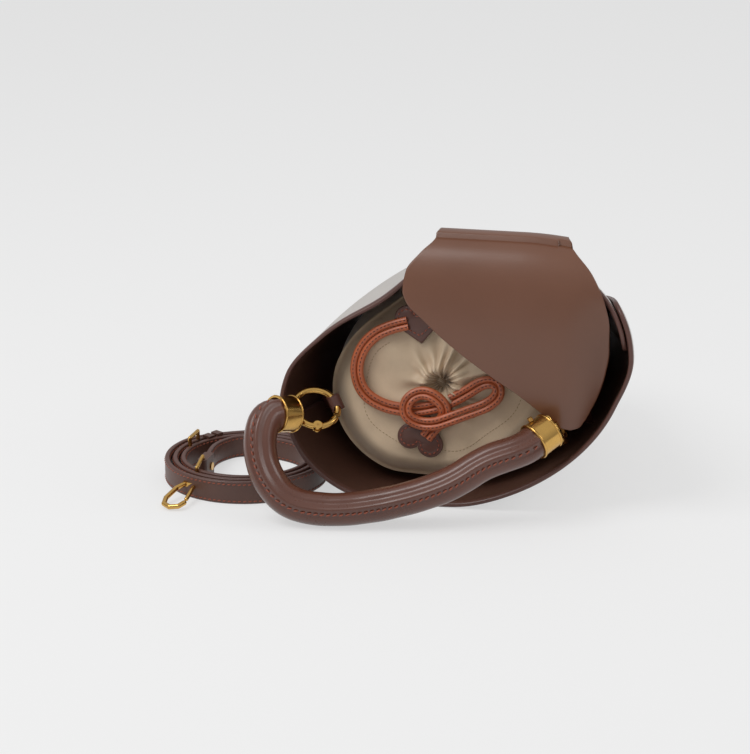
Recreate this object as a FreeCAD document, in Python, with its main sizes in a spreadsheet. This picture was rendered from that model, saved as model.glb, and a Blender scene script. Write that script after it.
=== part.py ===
import FreeCAD, Part
import math
import os

# A small leather bucket bag lying on its front wall, with its strap taken off and coiled beside it.
# The bag's own frame has its origin at the middle of the base, +z from the base to the mouth,
# +x to the right and +y to the back wall, which is the upper one as the bag lies.
# World frame: floor at z = 0, +Z up, origin at the bottom centre of the box of everything but cords.

Vec = FreeCAD.Vector

SIZES = [
    ("wall_height", 172.0, "base to rim at the front"),
    ("base_half_length", 68.0, "half the base's long axis, outside"),
    ("base_half_width", 58.0, "half the base's short axis, outside"),
    ("mouth_half_length", 108.0, "half the mouth's long axis, outside"),
    ("mouth_half_width", 79.0, "half the mouth's short axis, outside"),
    ("mouth_turn", 22.0, "angle of the mouth's long axis to x"),
    ("belly_swell", 6.0, "how far the wall swells outwards at half height"),
    ("back_dent", 17.0, "how far the soft back-left wall sinks in at the mouth"),
    ("rest_flat", 3.0, "how deep the wall is flattened where it lies on the floor"),
    ("right_tip_rise", 12.0, "how far the front panel's right tip stands above the rim"),
    ("left_tip_rise", 4.0, "how far the back panel's left tip stands above the rim"),
    ("shell_leather", 2.0, "outer leather"),
    ("lining_leather", 1.0, "lining leather"),
    ("lap_gap", 0.8, "clearance under a lap"),
    ("base_board_thick", 2.0, "stiffening board in the base"),
    ("flap_leather", 1.6, "outer leather of the flap"),
    ("flap_lining_leather", 1.2, "lining leather of the flap"),
    ("flap_hinge_drop", 14.0, "how far the flap's hinge line is below the rim"),
    ("pouch_gap", 5.0, "clearance between pouch and lining near the base"),
    ("pouch_room", 17.0, "further room beside the pouch where the left ring loop hangs"),
    ("pouch_room_right", 54.0, "the same on the right, where the ring stands on edge"),
    ("pouch_top_drop", 12.0, "how far the pouch's top is below the rim"),
    ("ring_radius", 13.9, "centre line of an openable ring"),
    ("ring_wire", 2.2, "radius of a ring's wire"),
    ("gate_sweep", 70.0, "angle of the ring that opens"),
    ("handle_radius", 10.5, "radius of the handle over its leather"),
    ("handle_cover_leather", 1.6, "leather round the handle"),
    ("ferrule_wall", 0.9, "brass of a ferrule"),
    ("ferrule_length", 14.0, "length of a ferrule"),
    ("drawcord_radius", 2.1, "rolled leather drawstring"),
    ("heart_thick", 3.2, "leather end tab of the drawstring"),
    ("strap_width", 15.0, "shoulder strap, standing on edge"),
    ("strap_thick", 3.0, "shoulder strap leather"),
    ("tab_width", 10.0, "leather loop that holds a ring"),
    ("tab_leather", 1.8, "leather of that loop"),
    ("body_yaw", 12.0, "turn of the bag's axis on the floor"),
    ("handle_drop", 42.2, "how far the handle has fallen below level"),
    ("clearance", 0.3, "running clearance between bodies"),
]

doc = FreeCAD.newDocument("bucket_bag")
sheet = doc.addObject("Spreadsheet::Sheet", "Sizes")
for row, (alias, value, note) in enumerate(SIZES, start=1):
    sheet.set("A%d" % row, alias)
    sheet.set("B%d" % row, str(value))
    sheet.set("C%d" % row, note)
    sheet.setAlias("B%d" % row, alias)
doc.recompute()


def size(name):
    """One driving size from the sheet."""
    return float(sheet.get(name))


# ---------------------------------------------------------------- the bag's wall as a formula

H = size("wall_height")
WALL = size("shell_leather") + size("lining_leather")
BASE_DROP = size("base_half_width") - size("rest_flat")
TURN = math.radians(size("mouth_turn"))
MOUTH_DROP = math.hypot(size("mouth_half_length") * math.sin(TURN),
                        size("mouth_half_width") * math.cos(TURN)) - size("rest_flat")
LIE_TILT = math.degrees(math.atan2(MOUTH_DROP - BASE_DROP, H))
BLEND = 1.2
DENT_AT = 137.0
DENT_WIDTH = 34.0


def wall_radius(theta, z):
    """Outer radius of the wall at an angle in degrees and a height."""
    part = z / H
    long_half = size("base_half_length") + part * (size("mouth_half_length") - size("base_half_length"))
    short_half = size("base_half_width") + part * (size("mouth_half_width") - size("base_half_width"))
    angle = math.radians(theta)
    local = angle - TURN * part
    radius = long_half * short_half / math.hypot(short_half * math.cos(local), long_half * math.sin(local))
    low_side = max(0.0, -math.sin(angle))
    radius += size("belly_swell") * 4.0 * part * max(0.0, 1.15 - part) * (1.0 - low_side) ** 0.7
    radius -= size("back_dent") * part ** 2 * bump(theta, DENT_AT, DENT_WIDTH)
    if math.sin(angle) < -0.2:
        floor = (BASE_DROP + part * (MOUTH_DROP - BASE_DROP)) / -math.sin(angle)
        radius = min(radius, floor) - BLEND * math.log(1.0 + math.exp(-abs(radius - floor) / BLEND))
    return radius


def wall_point(theta, z, inset):
    """A point on the wall, inset from its outer face."""
    radius = wall_radius(theta, z) - inset
    return Vec(radius * math.cos(math.radians(theta)), radius * math.sin(math.radians(theta)), z)


def bump(theta, middle, width):
    """A smooth bump of height 1 round one angle."""
    away = (theta - middle + 180.0) % 360.0 - 180.0
    return math.exp(-(away / width) ** 2)


def rim_height(theta):
    """Height of the rim, which rises to the two petal tips."""
    return H + size("right_tip_rise") * bump(theta, 24.0, 30.0) + size("left_tip_rise") * bump(theta, 194.0, 22.0)


def spline(points, closed=False):
    """An edge through points."""
    curve = Part.BSplineCurve()
    curve.interpolate(points, PeriodicFlag=closed)
    return curve.toShape()


def line(a, b):
    return Part.LineSegment(a, b).toShape()


def outline_wire(z, inset, count=36):
    """Closed outline of the wall at one height."""
    return Part.Wire([spline([wall_point(360.0 * i / count, z, inset) for i in range(count)], True)])


def wall_disc(z, thick, inset):
    """A flat plate that fits the wall."""
    return Part.Face(outline_wire(z, inset)).extrude(Vec(0, 0, thick))


LAP_FULL = 19.0
LAP_RAMP = 16.0


def lap_shift(theta, lap_end):
    """How far a panel steps out over its neighbour near its lapping end."""
    part = (LAP_FULL + LAP_RAMP - abs(theta - lap_end)) / LAP_RAMP
    part = min(1.0, max(0.0, part))
    return (WALL + size("lap_gap")) * part * part * (3.0 - 2.0 * part)


def panel(start, end, lap_end, inset, thick, low, rim_cut=0.0, steps=20):
    """A wall panel from one angle to another, lofted through upright sections."""
    wires = []
    for i in range(steps + 1):
        theta = start + (end - start) * i / steps
        shift = lap_shift(theta, lap_end)
        top = rim_height(theta) - rim_cut
        levels = [low + (top - low) * part for part in (0.0, 0.25, 0.5, 0.75, 1.0)]
        outside = [wall_point(theta, z, inset - shift) for z in levels]
        inside = [wall_point(theta, z, inset - shift + thick) for z in reversed(levels)]
        wires.append(Part.Wire([spline(outside), line(outside[-1], inside[0]), spline(inside),
                                line(inside[-1], outside[0])]))
    return Part.makeLoft(wires, True, False)


# ---------------------------------------------------------------- frames

BAG = FreeCAD.Placement(Vec(83.5, 11.7, BASE_DROP * math.cos(math.radians(LIE_TILT))),
                        FreeCAD.Rotation(Vec(0, 0, 1), -size("body_yaw"))
                        * FreeCAD.Rotation(Vec(1, 0, 0), 90.0 - LIE_TILT))
FLOOR = FreeCAD.Placement()  # the strap's frame, whose x and y follow the bag when it is centred

LEFT_LOOP = Vec(-75.0, -19.0, H - 5.0)
RIGHT_LOOP = Vec(64.0, -19.0, H - 19.0)


def handle_frame():
    """Origin at the left loop, x to the right loop, y down along the fallen handle."""
    left = BAG.multVec(LEFT_LOOP)
    across = (BAG.multVec(RIGHT_LOOP) - left).normalize()
    forward = across.cross(Vec(0, 0, 1)).normalize()
    under = across.cross(forward).normalize()
    drop = math.radians(size("handle_drop"))
    down = forward * math.cos(drop) + under * math.sin(drop)
    return FreeCAD.Placement(left, FreeCAD.Rotation(across, down, across.cross(down), "XYZ"))


HANDLE = handle_frame()
LOOP_SPAN = (RIGHT_LOOP - LEFT_LOOP).Length

PIECES = []
CORD_PIECES = []


def keep(obj, label, placement, cord=False):
    """Name a sub-part and give it its place."""
    obj.Label = label
    obj.Placement = placement
    PIECES.append(obj)
    if cord:
        CORD_PIECES.append(obj)
    return obj


def feature(label, shape, placement, cord=False):
    """A sub-part whose shape comes from Part's own functions."""
    obj = doc.addObject("Part::Feature", label)
    obj.Shape = shape
    return keep(obj, label, placement, cord)


# ---------------------------------------------------------------- base and walls

BASE_LEATHER = size("shell_leather")
FIT = 0.05
feature("base_panel", wall_disc(0.0, BASE_LEATHER, WALL + FIT), BAG)
BOARD_TOP = BASE_LEATHER + size("base_board_thick")
feature("base_board", wall_disc(BASE_LEATHER, size("base_board_thick"), WALL + 1.5), BAG)
LINING_TOP = BOARD_TOP + size("lining_leather")
feature("base_lining", wall_disc(BOARD_TOP, size("lining_leather"), WALL + 0.6), BAG)

FRONT = (-164.0, 30.0, 30.0)
BACK = (14.0, 200.0, 200.0)
LINING_LOW = LINING_TOP + 0.2
for side, (start, end, lap_end) in (("front", FRONT), ("back", BACK)):
    feature(side + "_shell", panel(start, end, lap_end, 0.0, size("shell_leather"), 0.0), BAG)
    feature(side + "_lining", panel(start, end, lap_end, size("shell_leather") + FIT,
                                    size("lining_leather") - FIT, LINING_LOW), BAG)

# ---------------------------------------------------------------- pouch


def pouch_wire(z, inset):
    """Outline of the soft pouch, which leaves room for the ring loops."""
    count = 28
    points = []
    for i in range(count):
        theta = 360.0 * i / count
        room = size("pouch_room") * bump(theta, 192.0, 42.0) + size("pouch_room_right") * bump(theta, 2.0, 56.0)
        room *= (z / H) ** 2
        points.append(wall_point(theta, z, WALL + size("pouch_gap") + inset + room))
    return Part.Wire([spline(points, True)])


POUCH_TOP = H - size("pouch_top_drop")
POUCH_SHOULDER = POUCH_TOP - 24.0
POUCH_LOW = LINING_TOP
feature("pouch_body", Part.makeLoft([pouch_wire(POUCH_LOW, 9.0), pouch_wire(40.0, 2.0), pouch_wire(90.0, 1.5),
                                     pouch_wire(POUCH_SHOULDER, 2.0)], True, False), BAG)
feature("pouch_top", Part.makeLoft([pouch_wire(POUCH_SHOULDER, 2.0), pouch_wire(POUCH_TOP - 9.0, 6.0),
                                    pouch_wire(POUCH_TOP, 18.0)], True, False), BAG)

# ---------------------------------------------------------------- flap

FLAP_STACK = size("flap_leather") + size("flap_lining_leather")
BACK_REACH = max(wall_point(theta, H - 8.0, 0.0).y for theta in range(60, 115, 5))
HINGE_Y = BACK_REACH + FLAP_STACK + 0.8
HINGE_Z = H - size("flap_hinge_drop")
FLAP_WIDE = (-34.0, 104.0)
FLAP_OUTLINE = [(-27, 72), (-14, 98), (30, 108), (80, 98), (96, 62), (92, 22), (79, -9), (55, 2), (18, 24), (-10, 45)]


def flap_profile(x, inset):
    """Points of the flap from its hinge line over the rim to its free end, inset from its outer face."""
    part = max(0.0, (x - 40.0) / 60.0)
    sink = 5.0 * part * part
    back = 8.0 * part * part
    rise = [(HINGE_Y - back, HINGE_Z), (HINGE_Y + 3 - back, H), (HINGE_Y - 3 - back, H + 13 - sink),
            (60 - back, H + 22 - sink), (25, H + 21 - sink), (-12, H + 12 - sink)]
    points = []
    for i, (y, z) in enumerate(rise):
        y0, z0 = rise[max(i - 1, 0)]
        y1, z1 = rise[min(i + 1, len(rise) - 1)]
        run = math.hypot(y1 - y0, z1 - z0)
        points.append(Vec(x, y - inset * (z1 - z0) / run, z + inset * (y1 - y0) / run))
    return points


def flap_layer(inset, thick):
    """One leather layer of the flap, cut to the flap's outline."""
    wires = []
    for i in range(6):
        x = FLAP_WIDE[0] + (FLAP_WIDE[1] - FLAP_WIDE[0]) * i / 5.0
        outer = flap_profile(x, inset)
        inner = list(reversed(flap_profile(x, inset + thick)))
        wires.append(Part.Wire([spline(outer), line(outer[-1], inner[0]), spline(inner),
                                line(inner[-1], outer[0])]))
    sheet_solid = Part.makeLoft(wires, True, False)
    outline = Part.Face(Part.Wire([spline([Vec(x, y, 0) for x, y in FLAP_OUTLINE], True)]))
    cutter = outline.extrude(Vec(0, 0, H + 60.0))
    return sheet_solid.common(cutter)


feature("flap", flap_layer(0.0, size("flap_leather")), BAG)
feature("flap_lining", flap_layer(size("flap_leather") + FIT, size("flap_lining_leather") - FIT), BAG)


def hinge_strip():
    """The strip by which the flap is stitched on to the outside of the back wall."""
    wires = []
    for i in range(7):
        theta = 62.0 + 50.0 * i / 6.0
        levels = [H - 52.0, H - 34.0, HINGE_Z - size("clearance")]
        outside = [wall_point(theta, z, -2.0) for z in levels]
        inside = [wall_point(theta, z, -FIT) for z in reversed(levels)]
        wires.append(Part.Wire([spline(outside), line(outside[-1], inside[0]), spline(inside),
                                line(inside[-1], outside[0])]))
    return Part.makeLoft(wires, True, False)


feature("flap_root", hinge_strip(), BAG)

# ---------------------------------------------------------------- ring loops on the lining


TAB_DEPTH = 50.0


def ring_loop(at, root_theta, root_inset, wire_dir, ring_place):
    """A folded leather loop round a ring's wire, its end sewn to the lining."""
    root = wall_point(root_theta, H - TAB_DEPTH, WALL + size("tab_leather") + root_inset)
    along = root - at
    length = along.Length
    outer = size("ring_wire") + size("clearance") + size("tab_leather")
    width = size("tab_width")
    eye = Part.makeCylinder(outer, width, Vec(0, 0, -width / 2))
    strap = Part.makeBox(length, 2 * size("tab_leather"), width, Vec(0, -size("tab_leather"), -width / 2))
    axis = along.cross(wire_dir).cross(along)
    place = BAG * FreeCAD.Placement(at, FreeCAD.Rotation(along, Vec(), axis, "XZY"))
    wire = Part.makeTorus(size("ring_radius"), size("ring_wire") + size("clearance"))
    wire.Placement = place.inverse() * ring_place
    return eye.fuse(strap).cut(wire), place


RING = size("ring_radius")
WIRE = size("ring_wire")
HANDLE_IN_BAG = BAG.inverse() * HANDLE


def ring_frame(loop, eye_dir, face_dir):
    """Placement of a ring in the handle's frame: x from its middle to the handle's eye."""
    out = Vec(*eye_dir).normalize()
    return FreeCAD.Placement(loop + out * RING, FreeCAD.Rotation(out, Vec(), Vec(*face_dir), "XZY"))


RING_FRAMES = {
    "left": ring_frame(Vec(), (-0.84, 0.48, -0.26), (0.22, -0.13, -0.94)),
    "right": ring_frame(Vec(LOOP_SPAN, 0, 0), (-0.06, 0.73, -0.68), (0.85, -0.35, -0.38)),
}
for side, loop, root_theta, inset in (("left", LEFT_LOOP, 196.0, 1.6), ("right", RIGHT_LOOP, -17.0, 3.8)):
    wire_dir = HANDLE_IN_BAG.Rotation.multVec(RING_FRAMES[side].Rotation.multVec(Vec(0, 1, 0)))
    feature(side + "_tab", *ring_loop(loop, root_theta, inset, wire_dir, HANDLE * RING_FRAMES[side]))

# ---------------------------------------------------------------- rings with gates


def run_arcs(points):
    """A path of straight runs joined by tangent arcs, each as large as its two runs allow."""
    edges = []
    radii = []
    last = points[0]
    for before, here, after in zip(points, points[1:], points[2:]):
        back = (before - here)
        ahead = (after - here)
        trim = 0.45 * min(back.Length, ahead.Length)
        turn = math.pi - back.getAngle(ahead)
        radii.append(trim / math.tan(turn / 2.0))
        back.normalize()
        ahead.normalize()
        enter = here + back * trim
        leave = here + ahead * trim
        middle_dir = (back + ahead).normalize()
        middle = here + middle_dir * (radii[-1] / math.cos(turn / 2.0) - radii[-1])
        edges.append(line(last, enter))
        edges.append(Part.Arc(enter, middle, leave).toShape())
        last = leave
    edges.append(line(last, points[-1]))
    return Part.Wire(edges), radii


def tube(points, radius, inner=0.0):
    """A round solid along a path, hollow if it has an inner radius."""
    path, radii = run_arcs(points)
    start = (points[1] - points[0]).normalize()
    profile = Part.Wire([Part.makeCircle(radius, points[0], start)])
    solid = path.makePipeShell([profile], True, True)
    if inner:
        hollow = Part.Wire([Part.makeCircle(inner, points[0], start)])
        solid = solid.cut(path.makePipeShell([hollow], True, True))
    return solid, path, radii


def ring_piece(start, sweep, wire):
    """An arc of a ring about its own z axis."""
    first = Vec(RING * math.cos(math.radians(start)), RING * math.sin(math.radians(start)), 0)
    tangent = Vec(-first.y, first.x, 0)
    face = Part.Face(Part.Wire([Part.makeCircle(wire, first, tangent)]))
    return face.revolve(Vec(0, 0, 0), Vec(0, 0, 1), sweep)


GATE_START = {"left": 70.0, "right": -140.0}
GATE_GAP = 1.2
PIN_RADIUS = 0.9
LUG = 2.9
for side, ring_place in RING_FRAMES.items():
    place = HANDLE * ring_place
    gate_start = GATE_START[side]
    sweep = size("gate_sweep")
    gap_angle = math.degrees(GATE_GAP / RING)
    pin_at = Vec(RING * math.cos(math.radians(gate_start)), RING * math.sin(math.radians(gate_start)), 0)
    body_arc = ring_piece(gate_start + sweep, 360.0 - sweep, WIRE)
    lug = Part.makeCylinder(LUG, 2 * WIRE, pin_at - Vec(0, 0, WIRE))
    slot = Part.makeCylinder(LUG + 0.4, 2.4, pin_at - Vec(0, 0, 1.2))
    pin_hole = Part.makeCylinder(PIN_RADIUS, 2 * WIRE + 2, pin_at - Vec(0, 0, WIRE + 1))
    feature(side + "_ring", body_arc.fuse(lug).cut(slot).cut(pin_hole), place)
    gate_arc = ring_piece(gate_start, sweep - 2 * gap_angle, WIRE - 0.15)
    gate_arc = gate_arc.cut(Part.makeCylinder(LUG + 0.3, 2 * WIRE + 2, pin_at - Vec(0, 0, WIRE + 1)))
    knuckle = Part.makeCylinder(2.2, 1.8, pin_at - Vec(0, 0, 0.9))
    far = math.radians(gate_start + 22.0)
    web_end = Vec(RING * math.cos(far), RING * math.sin(far), 0)
    web_line = web_end - pin_at
    web = Part.makeBox(web_line.Length, 2.2, 1.8, Vec(0, -1.1, -0.9))
    web.Placement = FreeCAD.Placement(pin_at, FreeCAD.Rotation(Vec(1, 0, 0), web_line))
    gate = gate_arc.fuse(knuckle).fuse(web).cut(Part.makeCylinder(PIN_RADIUS + 0.05, 6, pin_at - Vec(0, 0, 3)))
    feature(side + "_ring_gate", gate, place)
    pin = doc.addObject("Part::Cylinder", side + "_gate_pin")
    pin.Radius = PIN_RADIUS
    pin.setExpression("Height", "2 * Sizes.ring_wire")
    keep(pin, side + "_gate_pin", place * FreeCAD.Placement(pin_at - Vec(0, 0, WIRE), FreeCAD.Rotation()))

# ---------------------------------------------------------------- handle

FERRULE_FLOOR = 2.0
EYE_DROP = FERRULE_FLOOR + WIRE + 0.4
END_DIRS = {"left": Vec(-0.65, 0.45, -0.6), "right": Vec(-0.8, 0.55, -0.25)}


def handle_end(side, reach):
    """A point on the handle's line, a distance from the ring, square to the ring's wire there."""
    eye = RING_FRAMES[side].multVec(Vec(RING, 0, 0))
    wire_dir = RING_FRAMES[side].Rotation.multVec(Vec(0, 1, 0))
    out = END_DIRS[side] - wire_dir * END_DIRS[side].dot(wire_dir)
    return eye + out.normalize() * reach


FERRULE_RUN = 21.0
HANDLE_ROUTE = ([handle_end("left", EYE_DROP), handle_end("left", EYE_DROP + FERRULE_RUN)]
                + [Vec(-46, 44, -19), Vec(-40, 62, -11), Vec(-22, 75, -4), Vec(4, 77, -2), Vec(30, 73, -3),
                   Vec(56, 67, -7), Vec(80, 58, -12), Vec(98, 46, -19)]
                + [handle_end("right", EYE_DROP + FERRULE_RUN), handle_end("right", EYE_DROP)])
COVER = size("handle_radius")
CORE = COVER - size("handle_cover_leather")
core_shape, _, handle_radii = tube(HANDLE_ROUTE, CORE)
feature("handle_core", core_shape, HANDLE)
feature("handle_cover", tube(HANDLE_ROUTE, COVER, CORE)[0], HANDLE)


def ferrule_shape():
    """A brass cap whose floor carries an eye for the ring; the handle's end sits in it from +z."""
    inside = COVER + 0.05
    outside = inside + size("ferrule_wall")
    cap = Part.makeCylinder(outside, size("ferrule_length"), Vec(0, 0, -FERRULE_FLOOR))
    cap = cap.cut(Part.makeCylinder(inside, size("ferrule_length"), Vec(0, 0, 0)))
    eye = Part.makeCylinder(WIRE + 2.0, 5.0, Vec(0, -2.5, -EYE_DROP), Vec(0, 1, 0))
    neck = Part.makeBox(2 * WIRE + 4.0, 5.0, EYE_DROP - FERRULE_FLOOR, Vec(-WIRE - 2.0, -2.5, -EYE_DROP))
    cap = cap.fuse([eye, neck])
    return cap.cut(Part.makeCylinder(WIRE + 0.25, 12, Vec(0, -6, -EYE_DROP), Vec(0, 1, 0)))


ferrule = ferrule_shape()
for side, end, ahead in (("left", HANDLE_ROUTE[0], HANDLE_ROUTE[1]), ("right", HANDLE_ROUTE[-1], HANDLE_ROUTE[-2])):
    wire_dir = RING_FRAMES[side].Rotation.multVec(Vec(0, 1, 0))
    frame = FreeCAD.Placement(end, FreeCAD.Rotation(Vec(), wire_dir, ahead - end, "ZYX"))
    feature(side + "_ferrule", ferrule, HANDLE * frame)
    screw = doc.addObject("Part::Cylinder", side + "_ferrule_screw")
    screw.Radius = 1.6
    screw.Height = 2.4
    seat = FreeCAD.Placement(Vec(0, -COVER - 1.2, 6.0), FreeCAD.Rotation(Vec(1, 0, 0), 90.0))
    keep(screw, side + "_ferrule_screw", HANDLE * frame * seat)

# ---------------------------------------------------------------- drawstring on the pouch

CORD = size("drawcord_radius")
CORD_Z = POUCH_TOP + CORD + size("clearance")
KNOT_AT = Vec(-6, -14, 0)
KNOT_HALF = (17.0, 10.0, 5.0)
STRAND_ROUTES = {
    "drawstring_outer": [(-37, 36), (-50, 31), (-62, 20), (-65.5, 4), (-62, -11), (-50, -21), (-36, -24), (-20, -20)],
    "drawstring_inner": [(-36, 31), (-47, 27), (-57, 17), (-60.5, 3), (-57, -8), (-47, -15.5), (-35, -18.8), (-20, -15)],
    "drawstring_bow": [(4, -7), (12, 2), (22, 6), (30, 1), (29, -10), (20, -16), (9, -17)],
    "drawstring_tail": [(-13, -21.5), (-16, -25.5), (-17.4, -30.5)],
}


def flat_route(points, z):
    """Points of a route that lies level in its frame."""
    return [Vec(x, y, z) for x, y in points]


cord_radii = {}
for label, points in STRAND_ROUTES.items():
    strand, _, radii = tube(flat_route(points, CORD_Z), CORD)
    cord_radii[label] = radii
    feature(label, strand, BAG, True)
knot = Part.makeSphere(1.0)
stretch = FreeCAD.Matrix()
stretch.scale(*KNOT_HALF)
knot = knot.transformGeometry(stretch)
knot_spot = FreeCAD.Placement(Vec(KNOT_AT.x, KNOT_AT.y, POUCH_TOP + KNOT_HALF[2] + 0.3),
                              FreeCAD.Rotation(Vec(0, 0, 1), 12.0))
feature("drawstring_knot", knot, BAG * knot_spot, True)


def heart_body(label, at, turn):
    """A heart-shaped leather tab: a sketch of two lobes and two straight sides, padded."""
    body = doc.addObject("PartDesign::Body", label)
    plane = next(o for o in body.Origin.OriginFeatures if o.Role == "XY_Plane")
    sketch = body.newObject("Sketcher::SketchObject", label + "_outline")
    sketch.AttachmentSupport = [(plane, "")]
    sketch.MapMode = "FlatFace"
    lobe = 8.0
    lobe_x = 7.0
    point = Vec(0, -17.0, 0)
    notch = Vec(0, math.sqrt(lobe ** 2 - lobe_x ** 2), 0)
    for side in (1, -1):
        centre = Vec(side * lobe_x, 0, 0)
        reach = (point - centre).Length
        slope = math.atan2(point.y, point.x - centre.x)
        touch = slope + side * math.acos(lobe / reach)
        tangent = centre + Vec(lobe * math.cos(touch), lobe * math.sin(touch), 0)
        circle = Part.Circle(centre, Vec(0, 0, 1), lobe)
        ends = [circle.parameter(tangent), circle.parameter(notch)]
        if side < 0:
            ends.reverse()
        sketch.addGeometry(Part.ArcOfCircle(circle, ends[0], ends[1]), False)
        sketch.addGeometry(Part.LineSegment(point, tangent), False)
    pad = body.newObject("PartDesign::Pad", label + "_pad")
    pad.Profile = sketch
    pad.setExpression("Length", "Sizes.heart_thick")
    spot = FreeCAD.Placement(Vec(at[0], at[1], POUCH_TOP + 0.3), FreeCAD.Rotation(Vec(0, 0, 1), turn))
    return keep(body, label, BAG * spot, True)


heart_body("upper_heart_tab", (-25.0, 38.0), 10.0)
heart_body("lower_heart_tab", (-21.0, -40.5), 160.0)

# ---------------------------------------------------------------- shoulder strap on the floor

FIRST_ON_FLOOR = len(PIECES)
STRAP = size("strap_width")
THICK = size("strap_thick")
COIL_AT = (-81.0, -110.0)
COIL_OUTER = (56.0, 53.0)
COIL_INNER = (47.0, 44.0)
BUCKLE_RUN = (Vec(-131.5, -101.0, 0), Vec(-99.0, -65.5, 0))
END_LINE = (Vec(-106, -114, 0), Vec(-110, -129, 0))


def oval(half, height):
    """An upright oval block round the coil's middle."""
    curve = Part.Ellipse(Vec(COIL_AT[0], COIL_AT[1], 0), half[0], half[1])
    return Part.Face(Part.Wire([curve.toShape()])).extrude(Vec(0, 0, height))


def ribbon(points, thick):
    """The strap standing on its edge along a level route."""
    path, radii = run_arcs(points)
    ahead = (points[1] - points[0]).normalize()
    across = Vec(-ahead.y, ahead.x, 0) * (thick / 2)
    up = Vec(0, 0, STRAP)
    corners = [points[0] + across, points[0] - across, points[0] - across + up, points[0] + across + up]
    profile = Part.makePolygon(corners + corners[:1])
    shell = Part.BRepOffsetAPI.MakePipeShell(path)
    shell.setBiNormalMode(Vec(0, 0, 1))
    shell.setTransitionMode(1)
    shell.add(profile)
    shell.build()
    shell.makeSolid()
    return shell.shape(), radii


def along_frame(a, b):
    """Placement with x from a towards b and z as near upright as it can be."""
    return FreeCAD.Placement(a, FreeCAD.Rotation(b - a, Vec(), Vec(0, 0, 1), "XZY"))


run_frame = along_frame(*BUCKLE_RUN)
run_length = (BUCKLE_RUN[1] - BUCKLE_RUN[0]).Length
notch_block = Part.makeBox(run_length, 30.0, STRAP + 2, Vec(0, -15.0, -1))
notch_block.Placement = run_frame
bail_block = Part.makeBox(60.0, 17.0, STRAP + 2, Vec(0, -8.5, -1))
bail_block.Placement = along_frame(*END_LINE)
coil = oval(COIL_OUTER, STRAP).cut(oval(COIL_INNER, STRAP)).cut(notch_block).cut(bail_block)
feature("strap_coil", coil, FLOOR, True)

BUCKLE_AT = 20.0
BUCKLE_HALF_LENGTH = 6.5
PRONG_SLOT = (9.0, 3.4)
LEADS = {
    "strap_buckle_run": [BUCKLE_RUN[0], BUCKLE_RUN[1]],
    "strap_hook_run": [Vec(-68, -67.5, 0), Vec(-86, -73, 0), Vec(-100, -84, 0), Vec(-105.2, -99, 0), END_LINE[0]],
    "strap_tail_run": [Vec(-38.0, -77.5, 0), Vec(-24, -58, 0)],
}
for label, points in LEADS.items():
    if len(points) == 2:
        strip = Part.makeBox((points[1] - points[0]).Length, THICK, STRAP, Vec(0, -THICK / 2, 0))
        if label == "strap_buckle_run":
            slot_at = Vec(BUCKLE_AT + BUCKLE_HALF_LENGTH - PRONG_SLOT[0] / 2, -THICK, (STRAP - PRONG_SLOT[1]) / 2)
            strip = strip.cut(Part.makeBox(PRONG_SLOT[0], 2 * THICK, PRONG_SLOT[1], slot_at))
        feature(label, strip, FLOOR * along_frame(*points), True)
    else:
        strip, radii = ribbon(points, THICK)
        cord_radii[label] = radii
        feature(label, strip, FLOOR, True)


def rod(a, b, radius):
    """A round bar between two points with rounded ends."""
    bar = Part.makeCylinder(radius, (b - a).Length, a, b - a)
    return bar.fuse([Part.makeSphere(radius, a), Part.makeSphere(radius, b)])


def bar_frame(points, radius, closed=False):
    """Round bars through points."""
    ring = list(points) + ([points[0]] if closed else [])
    bars = [rod(a, b, radius) for a, b in zip(ring, ring[1:])]
    return bars[0].fuse(bars[1:]).removeSplitter()


BAIL_WIRE = 1.2
BAIL_HALF = STRAP / 2 + 1.9
BAIL_REACH = 12.0
END_LENGTH = 14.0
END_THICK = 2 * THICK
END_LIFT = 3.2


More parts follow.
